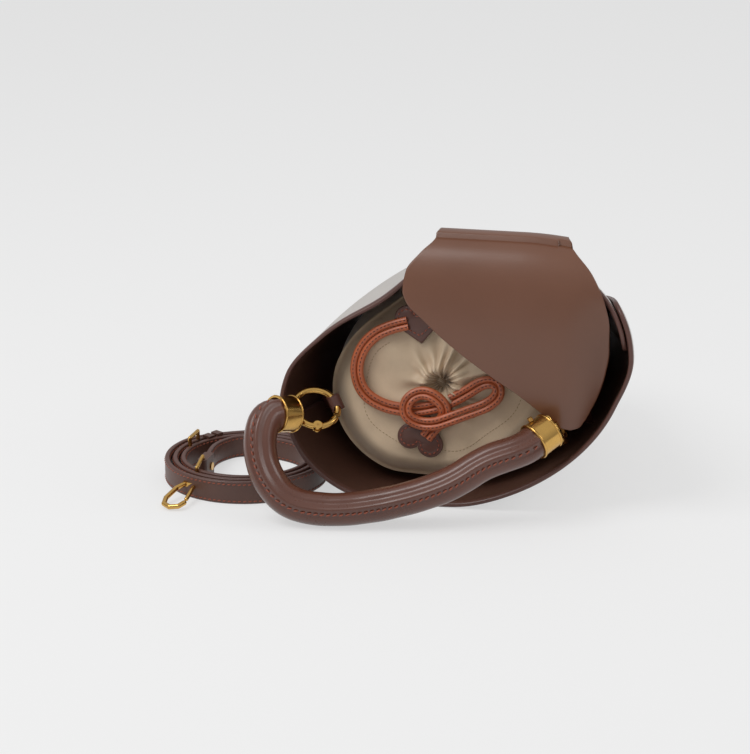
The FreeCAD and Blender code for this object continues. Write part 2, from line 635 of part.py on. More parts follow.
def strap_end(label, flat_frame, hook_dir):
    """The folded strap end with its screw, bail, swivel hook, gate and gate pin; the bail lifts it."""
    frame = FreeCAD.Placement(Vec(0, 0, END_LIFT), FreeCAD.Rotation()) * flat_frame
    hole = BAIL_WIRE + size("clearance")
    end = Part.makeBox(END_LENGTH, END_THICK, STRAP, Vec(0, -END_THICK / 2, 0))
    eye_at = Vec(END_LENGTH - 1.0, 0, 0)
    eye_outer = hole + 1.6
    end = end.fuse(Part.makeCylinder(eye_outer, STRAP, eye_at))
    end = end.cut(Part.makeCylinder(hole, STRAP + 2, eye_at - Vec(0, 0, 1)))
    end = end.cut(Part.makeCylinder(1.55, END_THICK + 2, Vec(5.0, -END_THICK / 2 - 1, STRAP / 2), Vec(0, 1, 0)))
    feature("strap_end_" + label, end, frame, True)
    screw = Part.makeCylinder(1.5, END_THICK, Vec(5.0, -END_THICK / 2, STRAP / 2), Vec(0, 1, 0))
    heads = [Part.makeCylinder(2.6, 0.8, Vec(5.0, side * END_THICK / 2 - (0.8 if side < 0 else 0), STRAP / 2),
                               Vec(0, 1, 0)) for side in (1, -1)]
    feature("strap_screw_" + label, screw.fuse(heads), frame, True)
    low, high = STRAP / 2 - BAIL_HALF, STRAP / 2 + BAIL_HALF
    reach = eye_at + Vec(BAIL_REACH, 0, 0)
    bail_points = [eye_at + Vec(0, 0, low), eye_at + Vec(0, 0, high),
                   reach + Vec(0, 0, high - 3.5), reach + Vec(0, 0, low + 3.5)]
    feature("hook_bail_" + label, bar_frame(bail_points, BAIL_WIRE, True), frame, True)
    start = frame.multVec(reach + Vec(BAIL_WIRE + 0.5, 0, STRAP / 2))
    hook_frame = FreeCAD.Placement(start, FreeCAD.Rotation(hook_dir, Vec(), Vec(0, 0, 1), "XZY"))
    head = Part.makeBox(7.0, 8.4, 3.4, Vec(2.0, -4.2, -1.7))
    neck = Part.makeCylinder(1.5, 2.2, Vec(0, 0, 0), Vec(1, 0, 0))
    loop_points = [Vec(8, -3.0, 0), Vec(14, -6.2, 0), Vec(26, -7.2, 0), Vec(32, -5.2, 0), Vec(34.2, 0, 0),
                   Vec(32, 5.2, 0), Vec(27.5, 6.9, 0)]
    loop = bar_frame(loop_points, 1.6)
    pin_at = Vec(7.2, 3.0, 0)
    slot = Part.makeCylinder(2.2, 2.0, pin_at - Vec(0, 0, 1.0)).fuse(Part.makeBox(4, 3, 2.0, pin_at - Vec(0, 1.5, 1.0)))
    hook = head.fuse([neck, loop]).cut(slot).cut(Part.makeCylinder(0.7, 5, pin_at - Vec(0, 0, 2.5)))
    feature("hook_body_" + label, hook, hook_frame, True)
    gate = rod(pin_at + Vec(3.4, 1.0, 0), Vec(23.6, 6.3, 0), 1.35)
    gate = gate.fuse(Part.makeCylinder(1.8, 1.5, pin_at - Vec(0, 0, 0.75)))
    gate = gate.fuse(rod(pin_at, pin_at + Vec(4.0, 1.1, 0), 0.72))
    gate = gate.cut(Part.makeCylinder(0.75, 4, pin_at - Vec(0, 0, 2)))
    feature("hook_gate_" + label, gate, hook_frame, True)
    feature("hook_gate_pin_" + label, Part.makeCylinder(0.7, 3.4, pin_at - Vec(0, 0, 1.7)), hook_frame, True)


strap_end("front", along_frame(*END_LINE), Vec(-15, -30, -8.6))
strap_end("back", along_frame(Vec(-24, -58, 0), Vec(-18, -40, 0)), Vec(9, 33, -8.6))

# buckle: frame, bar-mounted prong, keepers
BUCKLE_WIRE = 1.3
BUCKLE_HALF_HEIGHT = STRAP / 2 + 2.0
middle = Vec(BUCKLE_AT, 0, BUCKLE_HALF_HEIGHT + BUCKLE_WIRE + 0.1)
side_shift = THICK / 2 + BUCKLE_WIRE + size("clearance")
frame_points = []
for sx, sz in ((-1, -1), (1, -1), (1, 1), (-1, 1)):
    frame_points.append(Vec(BUCKLE_AT + sx * BUCKLE_HALF_LENGTH, -side_shift if sx < 0 else side_shift,
                            middle.z + sz * BUCKLE_HALF_HEIGHT))
strap_slot = Part.makeBox(60, THICK + 0.2, STRAP + 0.2, Vec(0, -THICK / 2 - 0.1, -0.1))
buckle = bar_frame(frame_points, BUCKLE_WIRE, True).cut(strap_slot)
feature("buckle_frame", buckle, FLOOR * run_frame, True)
PRONG_PIVOT = Vec(BUCKLE_AT + BUCKLE_HALF_LENGTH, side_shift, STRAP / 2)
prong_eye = Part.makeCylinder(BUCKLE_WIRE + 1.2, 2.4, PRONG_PIVOT - Vec(0, 0, 1.2))
prong_eye = prong_eye.cut(Part.makeCylinder(BUCKLE_WIRE + 0.1, 4, PRONG_PIVOT - Vec(0, 0, 2)))
prong_tip = Vec(BUCKLE_AT - BUCKLE_HALF_LENGTH + 2.2, side_shift + 1.2, STRAP / 2)
prong_start = PRONG_PIVOT + Vec(-BUCKLE_WIRE - 0.8, 1.2, 0)
prong = prong_eye.fuse(rod(prong_start, prong_tip, 0.85))
prong = prong.cut(Part.makeCylinder(BUCKLE_WIRE + 0.1, 4, PRONG_PIVOT - Vec(0, 0, 2)))
feature("buckle_prong", prong, FLOOR * run_frame, True)
for label, at in (("near", 31.0), ("far", 38.5)):
    outer = Part.makeBox(5.0, THICK + 3.4, STRAP + 1.6, Vec(at, -THICK / 2 - 1.7, 0))
    outer = outer.cut(Part.makeBox(7.0, THICK + 0.2, STRAP + 0.1, Vec(at - 1, -THICK / 2 - 0.1, -0.05)))
    feature("strap_keeper_" + label, outer, FLOOR * run_frame, True)

# ---------------------------------------------------------------- place, check and write

doc.recompute()
box = FreeCAD.BoundBox()
for piece in PIECES:
    if piece not in CORD_PIECES:
        for point in piece.Shape.tessellate(0.05)[0]:
            box.add(point)
shift = FreeCAD.Placement(Vec(-box.Center.x, -box.Center.y, -box.ZMin), FreeCAD.Rotation())
FLOOR_GAP = 0.05
STRAP_ASIDE = 1.2
along_floor = FreeCAD.Placement(Vec(shift.Base.x - STRAP_ASIDE, shift.Base.y, FLOOR_GAP), FreeCAD.Rotation())
for i, piece in enumerate(PIECES):
    piece.Placement = (shift if i < FIRST_ON_FLOOR else along_floor) * piece.Placement
doc.recompute()

for obj in doc.Objects:
    if "Invalid" in obj.State or "Error" in obj.State:
        raise RuntimeError(obj.Label + " did not recompute")
for piece in PIECES:
    if piece.Shape.isNull() or not piece.Shape.isValid():
        raise RuntimeError(piece.Label + " has no valid shape")

os.makedirs("parts", exist_ok=True)
for piece in PIECES:
    piece.Shape.exportStep("parts/%s.step" % piece.Label)
for label, radii in [("handle", handle_radii)] + sorted(cord_radii.items()):
    print(label, "bend radii", [round(radius, 1) for radius in radii])
print(len(PIECES), "sub-parts")
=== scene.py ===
import logging
import math
from dataclasses import dataclass
from enum import Enum
from typing import Callable, Iterable, Sequence

import bmesh
import bpy
from mathutils import Matrix, Vector


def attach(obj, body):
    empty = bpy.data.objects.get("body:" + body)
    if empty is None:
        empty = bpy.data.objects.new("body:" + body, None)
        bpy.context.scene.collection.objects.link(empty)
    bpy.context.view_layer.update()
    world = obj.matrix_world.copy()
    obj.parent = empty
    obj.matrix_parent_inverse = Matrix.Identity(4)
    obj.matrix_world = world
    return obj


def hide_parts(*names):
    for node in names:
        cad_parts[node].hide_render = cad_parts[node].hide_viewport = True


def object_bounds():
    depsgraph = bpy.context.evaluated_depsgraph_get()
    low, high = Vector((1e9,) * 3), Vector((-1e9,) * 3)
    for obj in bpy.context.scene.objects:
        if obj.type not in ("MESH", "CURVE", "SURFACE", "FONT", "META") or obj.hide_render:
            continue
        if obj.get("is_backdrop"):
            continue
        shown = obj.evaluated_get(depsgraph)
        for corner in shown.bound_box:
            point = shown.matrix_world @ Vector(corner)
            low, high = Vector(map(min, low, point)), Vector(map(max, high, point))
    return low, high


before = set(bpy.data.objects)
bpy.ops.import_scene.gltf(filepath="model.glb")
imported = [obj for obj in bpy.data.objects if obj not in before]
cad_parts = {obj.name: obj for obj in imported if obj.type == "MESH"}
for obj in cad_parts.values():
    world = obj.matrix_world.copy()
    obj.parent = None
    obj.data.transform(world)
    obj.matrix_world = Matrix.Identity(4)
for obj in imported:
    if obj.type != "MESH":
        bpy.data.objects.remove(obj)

CAD_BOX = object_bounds()
LOG = logging.getLogger("bucket_bag")
MM = 0.001
FLOOR_SHIFT = Vector((-39.99, 89.64, 0.05))
CAMERA_AIM = Vector((-38.79, 89.64, 0.0))


# ------------------------------------------------------------------ shader tools

class Wire:
    """A shader socket that takes part in Python arithmetic."""

    def __init__(self, paint: "Paint", socket: bpy.types.NodeSocket) -> None:
        """Wrap one output socket of a material being built."""
        self.paint = paint
        self.socket = socket

    def _math(self, operation: str, first: "Wire | float", second: "Wire | float") -> "Wire":
        """Add one Math node.

        Args:
            operation: the Math node's operation.
            first: its first value.
            second: its second value.

        Returns:
            The node's result.
        """
        return self.paint.node("ShaderNodeMath", {"operation": operation}, {0: first, 1: second})

    def __add__(self, other: "Wire | float") -> "Wire":
        """Sum."""
        return self._math("ADD", self, other)

    def __radd__(self, other: float) -> "Wire":
        """Sum with a number first."""
        return self._math("ADD", other, self)

    def __sub__(self, other: "Wire | float") -> "Wire":
        """Difference."""
        return self._math("SUBTRACT", self, other)

    def __rsub__(self, other: float) -> "Wire":
        """Difference with a number first."""
        return self._math("SUBTRACT", other, self)

    def __mul__(self, other: "Wire | float") -> "Wire":
        """Product."""
        return self._math("MULTIPLY", self, other)

    def __rmul__(self, other: float) -> "Wire":
        """Product with a number first."""
        return self._math("MULTIPLY", other, self)

    def __pow__(self, other: "Wire | float") -> "Wire":
        """Power."""
        return self._math("POWER", self, other)


class Paint:
    """One material's node tree under construction."""

    def __init__(self, name: str) -> None:
        """Start an empty node material.

        Args:
            name: the material's name.
        """
        self.material = bpy.data.materials.new(name)
        self.material.use_nodes = True
        self.tree = self.material.node_tree
        self.tree.nodes.clear()

    def node(self, kind: str, settings: dict[str, object] | None = None,
             sockets: dict[str | int, object] | None = None, output: str | int = 0) -> Wire:
        """Add any node.

        Args:
            kind: the node's type name.
            settings: its properties; "stops" gives a colour ramp's positions and colours.
            sockets: values or links of its input sockets.
            output: which output to return.

        Returns:
            The chosen output.
        """
        made = self.tree.nodes.new(kind)
        for name, value in (settings or {}).items():
            if name == "stops":
                elements = made.color_ramp.elements
                while len(elements) < len(value):
                    elements.new(0.5)
                for element, (position, colour) in zip(elements, value):
                    element.position = position
                    element.color = (*colour, 1.0)
            else:
                setattr(made, name, value)
        for name, value in (sockets or {}).items():
            if isinstance(value, Wire):
                self.tree.links.new(value.socket, made.inputs[name])
            elif isinstance(value, tuple) and len(value) == 3 and made.inputs[name].type == "RGBA":
                made.inputs[name].default_value = (*value, 1.0)
            else:
                made.inputs[name].default_value = value
        return Wire(self, made.outputs[output])

    def place(self) -> Wire:
        """Coordinates that stay with the object."""
        return self.node("ShaderNodeTexCoord", output="Object")

    def noise(self, scale: float, detail: float = 3.0, rough: float = 0.5, at: Wire | None = None) -> Wire:
        """Soft noise from 0 to 1.

        Args:
            scale: features per metre.
            detail: number of finer layers.
            rough: weight of the finer layers.
            at: coordinates, or the object's own.

        Returns:
            The noise value.
        """
        return self.node("ShaderNodeTexNoise", {},
                         {"Vector": at or self.place(), "Scale": scale, "Detail": detail, "Roughness": rough})

    def cells(self, scale: float) -> Wire:
        """Distance to the nearest cell centre, for leather grain."""
        return self.node("ShaderNodeTexVoronoi", {}, {"Vector": self.place(), "Scale": scale})

    def ramp(self, factor: Wire, low: float, high: float) -> Wire:
        """Stretch a value so that low becomes 0 and high becomes 1."""
        return self.node("ShaderNodeMapRange", {"clamp": True},
                         {"Value": factor, "From Min": low, "From Max": high})

    def blend(self, factor: Wire | float, first: object, second: object, mode: str = "MIX") -> Wire:
        """Mix two colours.

        Args:
            factor: the share of the second.
            first: a colour or a link.
            second: a colour or a link.
            mode: the Mix node's blend type.

        Returns:
            The mixed colour.
        """
        made = self.tree.nodes.new("ShaderNodeMix")
        made.data_type = "RGBA"
        made.blend_type = mode
        inputs = [s for s in made.inputs if s.type == "RGBA"]
        for socket, value in ((made.inputs[0], factor), (inputs[0], first), (inputs[1], second)):
            if isinstance(value, Wire):
                self.tree.links.new(value.socket, socket)
            else:
                socket.default_value = (*value, 1.0) if isinstance(value, tuple) else value
        return Wire(self, next(s for s in made.outputs if s.type == "RGBA"))

    def bump(self, height: Wire, strength: float, distance: float) -> Wire:
        """A bumped normal from a height."""
        return self.node("ShaderNodeBump", {}, {"Strength": strength, "Distance": distance, "Height": height})

    def surface(self, **sockets: object) -> bpy.types.Material:
        """Finish with a Principled shader.

        Args:
            sockets: the shader's inputs, with _ for spaces.

        Returns:
            The finished material.
        """
        named = {name.replace("_", " "): value for name, value in sockets.items()}
        return self.output(self.node("ShaderNodeBsdfPrincipled", {}, named))

    def output(self, shader: Wire) -> bpy.types.Material:
        """Link a shader to the output and return the material."""
        self.node_out = self.tree.nodes.new("ShaderNodeOutputMaterial")
        self.tree.links.new(shader.socket, self.node_out.inputs["Surface"])
        return self.material


def tone(red: int, green: int, blue: int) -> tuple[float, float, float]:
    """A display colour from 0 to 255 as linear light."""
    return tuple(c / 12.92 if c <= 0.04045 else ((c + 0.055) / 1.055) ** 2.4
                 for c in (red / 255.0, green / 255.0, blue / 255.0))


def shade(colour: tuple[float, float, float], factor: float) -> tuple[float, float, float]:
    """A colour made darker or lighter."""
    return tuple(min(1.0, c * factor) for c in colour)


# ------------------------------------------------------------------ finishes

@dataclass(frozen=True)
class Leather:
    """Smooth finished leather with fine grain, soft colour drift and faint creases."""

    name: str
    colour: tuple[float, float, float]
    roughness: float = 0.42
    grain: float = 1100.0
    depth: float = 0.00012
    drift: float = 0.14
    coat: float = 0.0
    drift_scale: float = 22.0

    def material(self) -> bpy.types.Material:
        """Build the leather."""
        paint = Paint(self.name)
        drift = paint.ramp(paint.noise(self.drift_scale, 4.0), 0.3, 0.7)
        pores = paint.cells(self.grain)
        fine = paint.noise(self.grain * 0.35, 2.0)
        crease = paint.ramp(paint.noise(120.0, 5.0, 0.62), 0.42, 0.62)
        colour = paint.blend(drift, shade(self.colour, 1.0 - self.drift),
                             shade(self.colour, 1.0 + self.drift))
        colour = paint.blend(paint.ramp(pores, 0.0, 0.5) * 0.12, colour, shade(self.colour, 0.72))
        height = pores * 0.55 + fine * 0.6 + crease * 0.8
        return paint.surface(Base_Color=colour, Roughness=drift * 0.1 + fine * 0.08 + (self.roughness - 0.09),
                             Coat_Weight=self.coat, Coat_Roughness=0.3,
                             Normal=paint.bump(height, 0.35, self.depth))


@dataclass(frozen=True)
class Suede:
    """Soft gathered cloth with a satin nap and painted shade in the hollows of its folds."""

    name: str
    colour: tuple[float, float, float]
    shadow: tuple[float, float, float]

    def material(self) -> bpy.types.Material:
        """Build the cloth."""
        paint = Paint(self.name)
        cloud = paint.ramp(paint.noise(38.0, 4.0, 0.6), 0.32, 0.68)
        nap = paint.noise(900.0, 3.0, 0.6)
        fibre = paint.noise(2600.0, 2.0, 0.6)
        crush = paint.noise(150.0, 4.0, 0.6)
        # Painted shade: the cloth's colour goes to its darker shadow colour in the concave hollows between
        # folds, found from the mesh's pointiness.
        fold_shade_mask = paint.ramp(paint.node("ShaderNodeNewGeometry", output="Pointiness"), 0.42, 0.52)
        colour = paint.blend(cloud, shade(self.colour, 0.86), shade(self.colour, 1.08))
        colour = paint.blend(fold_shade_mask, self.shadow, colour)
        colour = paint.blend(nap * 0.25, colour, shade(self.colour, 0.8))
        height = nap * 0.4 + fibre * 0.3 + crush * 1.6
        return paint.surface(Base_Color=colour, Roughness=cloud * 0.12 + 0.4, Sheen_Weight=0.35,
                             Sheen_Roughness=0.45, Normal=paint.bump(height, 0.4, 0.0003))


@dataclass(frozen=True)
class Gold:
    """Polished gold-coloured metal with faint wear."""

    name: str
    colour: tuple[float, float, float]
    roughness: float = 0.13

    def material(self) -> bpy.types.Material:
        """Build the metal."""
        paint = Paint(self.name)
        wear = paint.ramp(paint.noise(240.0, 5.0, 0.6), 0.4, 0.75)
        smear = paint.noise(60.0, 3.0)
        colour = paint.blend(wear * 0.4, self.colour, shade(self.colour, 0.78))
        return paint.surface(Base_Color=colour, Metallic=1.0,
                             Roughness=wear * 0.08 + smear * 0.05 + self.roughness,
                             Normal=paint.bump(paint.noise(160.0, 2.0), 0.04, 0.0001))


@dataclass(frozen=True)
class Thread:
    """Twisted sewing thread."""

    name: str
    colour: tuple[float, float, float]

    def material(self) -> bpy.types.Material:
        """Build the thread."""
        paint = Paint(self.name)
        fluff = paint.noise(3000.0, 2.0)
        colour = paint.blend(fluff, shade(self.colour, 0.7), shade(self.colour, 1.2))
        return paint.surface(Base_Color=colour, Roughness=0.6, Normal=paint.bump(fluff, 0.4, 0.0001))


class Finish(Enum):
    """Every finish on the bag."""

    SHELL = Leather("shell_taupe", tone(197, 192, 187), 0.5, 1300.0, 0.00016, 0.05)
    LINING = Leather("lining_brown", tone(84, 54, 42), 0.5, 1200.0, 0.00012, 0.12)
    FLAP = Leather("flap_brown", tone(112, 72, 52), 0.34, 1500.0, 0.00006, 0.08, 0.2, 14.0)
    HANDLE = Leather("handle_brown", tone(96, 56, 42), 0.3, 1200.0, 0.00006, 0.1, 0.3)
    EDGE = Leather("edge_paint", tone(92, 60, 52), 0.4, 700.0, 0.0001, 0.1)
    TRIM = Leather("trim_brown", tone(88, 52, 41), 0.38, 1200.0, 0.0001, 0.12, 0.15)
    STRAP = Leather("strap_brown", tone(92, 62, 52), 0.42, 1100.0, 0.00014, 0.14)
    CORD = Leather("cord_tan", tone(178, 92, 54), 0.36, 1500.0, 0.0001, 0.16, 0.15, 60.0)
    BOARD = Leather("board_grey", tone(60, 58, 56), 0.7, 800.0, 0.0001, 0.05)
    POUCH = Suede("pouch_suede", tone(216, 193, 163), tone(158, 124, 92))
    GOLD = Gold("gold_metal", tone(214, 170, 96))
    PIN = Gold("pin_metal", tone(190, 148, 84), 0.3)
    RED_THREAD = Thread("thread_red_brown", tone(150, 78, 56))
    DARK_THREAD = Thread("thread_dark", tone(70, 34, 26))
    SAND_THREAD = Thread("thread_sand", tone(176, 148, 116))


class Wardrobe:
    """Hands out each finish's material, made once."""

    def __init__(self) -> None:
        """Start with nothing made."""
        self.made: dict[Finish, bpy.types.Material] = {}

    def get(self, finish: Finish) -> bpy.types.Material:
        """The material of a finish."""
        if finish not in self.made:
            self.made[finish] = finish.value.material()
        return self.made[finish]


WARDROBE = Wardrobe()


# ------------------------------------------------------------------ frames and curves

@dataclass(frozen=True)
class Place:
    """A frame in the row frame, with an origin in millimetres."""

    origin: Vector
    x: Vector
    y: Vector
    z: Vector

    def at(self, x: float, y: float, z: float) -> Vector:
        """A local point in millimetres as a row point in metres."""
        return (self.origin + self.x * x + self.y * y + self.z * z) * MM

    def along(self, x: float, y: float, z: float) -> Vector:
        """A local direction as a row direction."""
        return self.x * x + self.y * y + self.z * z


def bag_place(yaw: float = -12.0, lift: float = 8.494) -> Place:
    """The bag's own frame: z from its base to its mouth, y towards the flap's hinge.

    Args:
        yaw: turn on the floor, in degrees.
        lift: how far the mouth points up, in degrees.

    Returns:
        The frame.
    """
    turn = Matrix.Rotation(math.radians(yaw), 3, "Z") @ Matrix.Rotation(math.radians(90.0 - lift), 3, "X")
    return Place(Vector((44.71, 101.34, 54.354)), turn.col[0].copy(), turn.col[1].copy(), turn.col[2].copy())


BAG = bag_place()
FLOOR = Place(FLOOR_SHIFT, Vector((1, 0, 0)), Vector((0, 1, 0)), Vector((0, 0, 1)))
HANDLE = Place(Vector((-63.576, -47.37, 60.22)), Vector((0.9938, -0.1099, -0.0148)),
               Vector((-0.0913, -0.7352, -0.6716)), Vector((0.0629, 0.6689, -0.7407)))


def bump(theta: float, middle: float, width: float) -> float:
    """A smooth bump of height 1 round one angle, in degrees."""
    away = (theta - middle + 180.0) % 360.0 - 180.0
    return math.exp(-(away / width) ** 2)


def smooth(part: float) -> float:
    """An eased step from 0 to 1."""
    part = min(1.0, max(0.0, part))
    return part * part * (3.0 - 2.0 * part)


def through(points: Sequence[tuple[float, float]], at: float) -> float:
    """A smooth value table.

    Args:
        points: pairs of place and value, in order.
        at: where to read.

    Returns:
        The value there, on a curve through the pairs.
    """
    if at <= points[0][0]:
        return points[0][1]
    if at >= points[-1][0]:
        return points[-1][1]
    slopes = [(b[1] - a[1]) / (b[0] - a[0]) for a, b in zip(points, points[1:])]
    tangents = [slopes[0]] + [0.0 if a * b <= 0 else 2 * a * b / (a + b) for a, b in zip(slopes, slopes[1:])]
    tangents.append(slopes[-1])
    i = max(k for k in range(len(points) - 1) if points[k][0] <= at)
    (x0, y0), (x1, y1) = points[i], points[i + 1]
    h = x1 - x0
    t = (at - x0) / h
    return ((2 * t ** 3 - 3 * t ** 2 + 1) * y0 + (t ** 3 - 2 * t ** 2 + t) * h * tangents[i]
            + (-2 * t ** 3 + 3 * t ** 2) * y1 + (t ** 3 - t ** 2) * h * tangents[i + 1])


def nurbs_object(name: str, points: Sequence[Vector], radius: float = 0.0) -> bpy.types.Object:
    """A smooth open curve led by given points.

    Args:
        name: the object's name.
        points: control points in metres.
        radius: bevel radius in metres.

    Returns:
        The curve object.
    """
    data = bpy.data.curves.new(name, "CURVE")
    data.dimensions = "3D"
    spline = data.splines.new("NURBS")
    spline.points.add(len(points) - 1)
    for knot, point in zip(spline.points, points):
        knot.co = (*point, 1.0)
    spline.order_u = 3
    spline.use_endpoint_u = True
    spline.resolution_u = 8
    data.resolution_u = 8
    data.bevel_depth = radius
    data.bevel_resolution = 6
    data.use_fill_caps = radius > 0
    made = bpy.data.objects.new(name, data)
    bpy.context.scene.collection.objects.link(made)
    return made


def nurbs_line(points: Sequence[Vector], step: float) -> list[Vector]:
    """Evenly spaced points along a smooth curve.

    Args:
        points: control points in metres.
        step: spacing in metres.

    Returns:
        Points on the curve.
    """
    guide = nurbs_object("guide", points)
    mesh = bpy.data.meshes.new_from_object(guide)
    line = [v.co.copy() for v in mesh.vertices]
    bpy.data.objects.remove(guide)
    return even(line, step)


def even(line: Sequence[Vector], step: float) -> list[Vector]:
    """The same line with evenly spaced points."""
    lengths = [0.0]
    for a, b in zip(line, line[1:]):
        lengths.append(lengths[-1] + (b - a).length)
    count = max(2, int(round(lengths[-1] / step)))
    out = []
    k = 0
    for i in range(count + 1):
        want = lengths[-1] * i / count
        while k < len(lengths) - 2 and lengths[k + 1] < want:
            k += 1
        span = lengths[k + 1] - lengths[k] or 1.0
        out.append(line[k].lerp(line[k + 1], (want - lengths[k]) / span))
    return out


def tangents(line: Sequence[Vector]) -> list[Vector]:
    """Unit directions along a line."""
    last = len(line) - 1
    return [(line[min(i + 1, last)] - line[max(i - 1, 0)]).normalized() for i in range(last + 1)]


def carried(line: Sequence[Vector], side: Vector) -> list[Vector]:
    """A sideways direction carried along a line without twist.

    Args:
        line: the points.
        side: the wanted direction at the start.

    Returns:
        One unit direction for each point, square to the line.
    """
    out = []
    for direction in tangents(line):
        side = (side - direction * side.dot(direction)).normalized()
        out.append(side.copy())
    return out


# ------------------------------------------------------------------ meshes

def mesh_piece(name: str, verts: Sequence[Vector], faces: Sequence[Sequence[int]], finishes: Sequence[Finish],
               which: Sequence[int] | None = None) -> bpy.types.Object:
    """A smooth-shaded mesh piece.

    Args:
        name: the piece's name.
        verts: points in metres.
        faces: corner numbers of each face.
        finishes: the piece's finishes.
        which: the finish of each face.

    Returns:
        The object.
    """
    data = bpy.data.meshes.new(name)
    data.from_pydata([tuple(v) for v in verts], [], [tuple(f) for f in faces])
    for finish in finishes:
        data.materials.append(WARDROBE.get(finish))
    if which:
        data.polygons.foreach_set("material_index", list(which))
    data.polygons.foreach_set("use_smooth", [True] * len(data.polygons))
    shaped = bmesh.new()
    shaped.from_mesh(data)
    bmesh.ops.recalc_face_normals(shaped, faces=shaped.faces)
    shaped.to_mesh(data)
    shaped.free()
    made = bpy.data.objects.new(name, data)
    bpy.context.scene.collection.objects.link(made)
    return made


def loft(name: str, rings: Sequence[Sequence[Vector]], finishes: Sequence[Finish],
         pick: Callable[[int, int], int] | None = None, loop: bool = False) -> bpy.types.Object:
    """Skin closed rings of equal length, with flat ends unless it loops.

    Args:
        name: the piece's name.
        rings: rings of points.
        finishes: the piece's finishes.
        pick: finish number from ring and side numbers.
        loop: whether the last ring joins the first.

    Returns:
        The object.
    """
    sides = len(rings[0])
    verts = [p for ring in rings for p in ring]
    faces, which = [], []
    for i in range(len(rings) - (0 if loop else 1)):
        j = (i + 1) % len(rings)
        for k in range(sides):
            m = (k + 1) % sides
            faces.append((i * sides + k, i * sides + m, j * sides + m, j * sides + k))
            which.append(pick(i, k) if pick else 0)
    if not loop:
        for i, order in ((0, 1), (len(rings) - 1, -1)):
            faces.append(tuple(i * sides + k for k in range(sides))[::order])
            which.append(pick(i, 0) if pick else 0)
    return mesh_piece(name, verts, faces, finishes, which)


def tube(name: str, line: Sequence[Vector], radius: Callable[[float, float], float], side: Vector,
         finish: Finish, sides: int = 20) -> bpy.types.Object:
    """A tube along a line.

    Args:
        name: the piece's name.
        line: centre points.
        radius: radius in metres from share of length and angle.
        side: direction of angle 0 at the start.
        finish: its finish.
        sides: corners round the tube.

    Returns:
        The object.
    """
    rings = []
    last = len(line) - 1
    for i, (point, ahead, out) in enumerate(zip(line, tangents(line), carried(line, side))):
        over = ahead.cross(out)
        ring = []
        for k in range(sides):
            angle = 2 * math.pi * k / sides
            reach = radius(i / last, angle)
            ring.append(point + out * (math.cos(angle) * reach) + over * (math.sin(angle) * reach))
        rings.append(ring)
    return loft(name, rings, [finish])


def stitches(name: str, spots: Iterable[tuple[Vector, Vector, Vector]], length: float, width: float,
             finish: Finish) -> bpy.types.Object:
    """A row of raised stitches.

    Args:
        name: the piece's name.
        spots: middle, direction and outward normal of each stitch.
        length: length of a stitch in metres.
        width: its width in metres.
        finish: its thread.

    Returns:
        The object.
    """
    verts, faces = [], []
    profile = ((-0.5, 0.25, -0.6), (-0.36, 0.85, 0.0), (0.0, 1.0, 0.25), (0.36, 0.85, 0.0), (0.5, 0.25, -0.6))
    for middle, ahead, out in spots:
        over = ahead.cross(out).normalized()
        first = len(verts)
        for along, fat, lift in profile:
            centre = middle + ahead * (along * length) + out * (lift * width * 0.5)
            for k in range(6):
                angle = math.pi * k / 3
                verts.append(centre + (over * math.cos(angle) + out * math.sin(angle)) * (fat * width * 0.5))
        for i in range(len(profile) - 1):
            low, high = first + i * 6, first + i * 6 + 6
            for k in range(6):
                m = (k + 1) % 6
                faces.append((low + k, low + m, high + m, high + k))
        faces.append(tuple(first + k for k in range(6)))
        faces.append(tuple(first + len(profile) * 6 - 1 - k for k in range(6)))
    return mesh_piece(name, verts, faces, [finish])


def spots_along(line: Sequence[Vector], normals: Sequence[Vector], pitch: float,
                slant: float = 0.0) -> list[tuple[Vector, Vector, Vector]]:
    """Stitch places along a line.

    Args:
        line: evenly spaced points on the surface.
        normals: outward normals there.
        pitch: spacing of the stitches in metres.
        slant: turn of each stitch, in radians.

    Returns:
        Middle, direction and normal of each stitch.
    """
    length = sum((b - a).length for a, b in zip(line, line[1:]))
    count = max(1, int(length / pitch))
    ways = tangents(line)
    out = []
    for i in range(count):
        at = (i + 0.5) / count * (len(line) - 1)
        k = min(int(at), len(line) - 2)
        point = line[k].lerp(line[k + 1], at - k)
        normal = normals[k].lerp(normals[k + 1], at - k).normalized()
        ahead = ways[k] - normal * ways[k].dot(normal)
        ahead = Matrix.Rotation(slant, 3, normal) @ ahead.normalized()
        out.append((point, ahead, normal))
    return out


def dress(nodes: Iterable[str], finish: Finish) -> None:
    """Give carried-over CAD nodes a finish.

    Args:
        nodes: the nodes' names.
        finish: their finish.
    """
    for name in nodes:
        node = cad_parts[name]
        node.data.materials.clear()
        node.data.materials.append(WARDROBE.get(finish))


# ------------------------------------------------------------------ the view

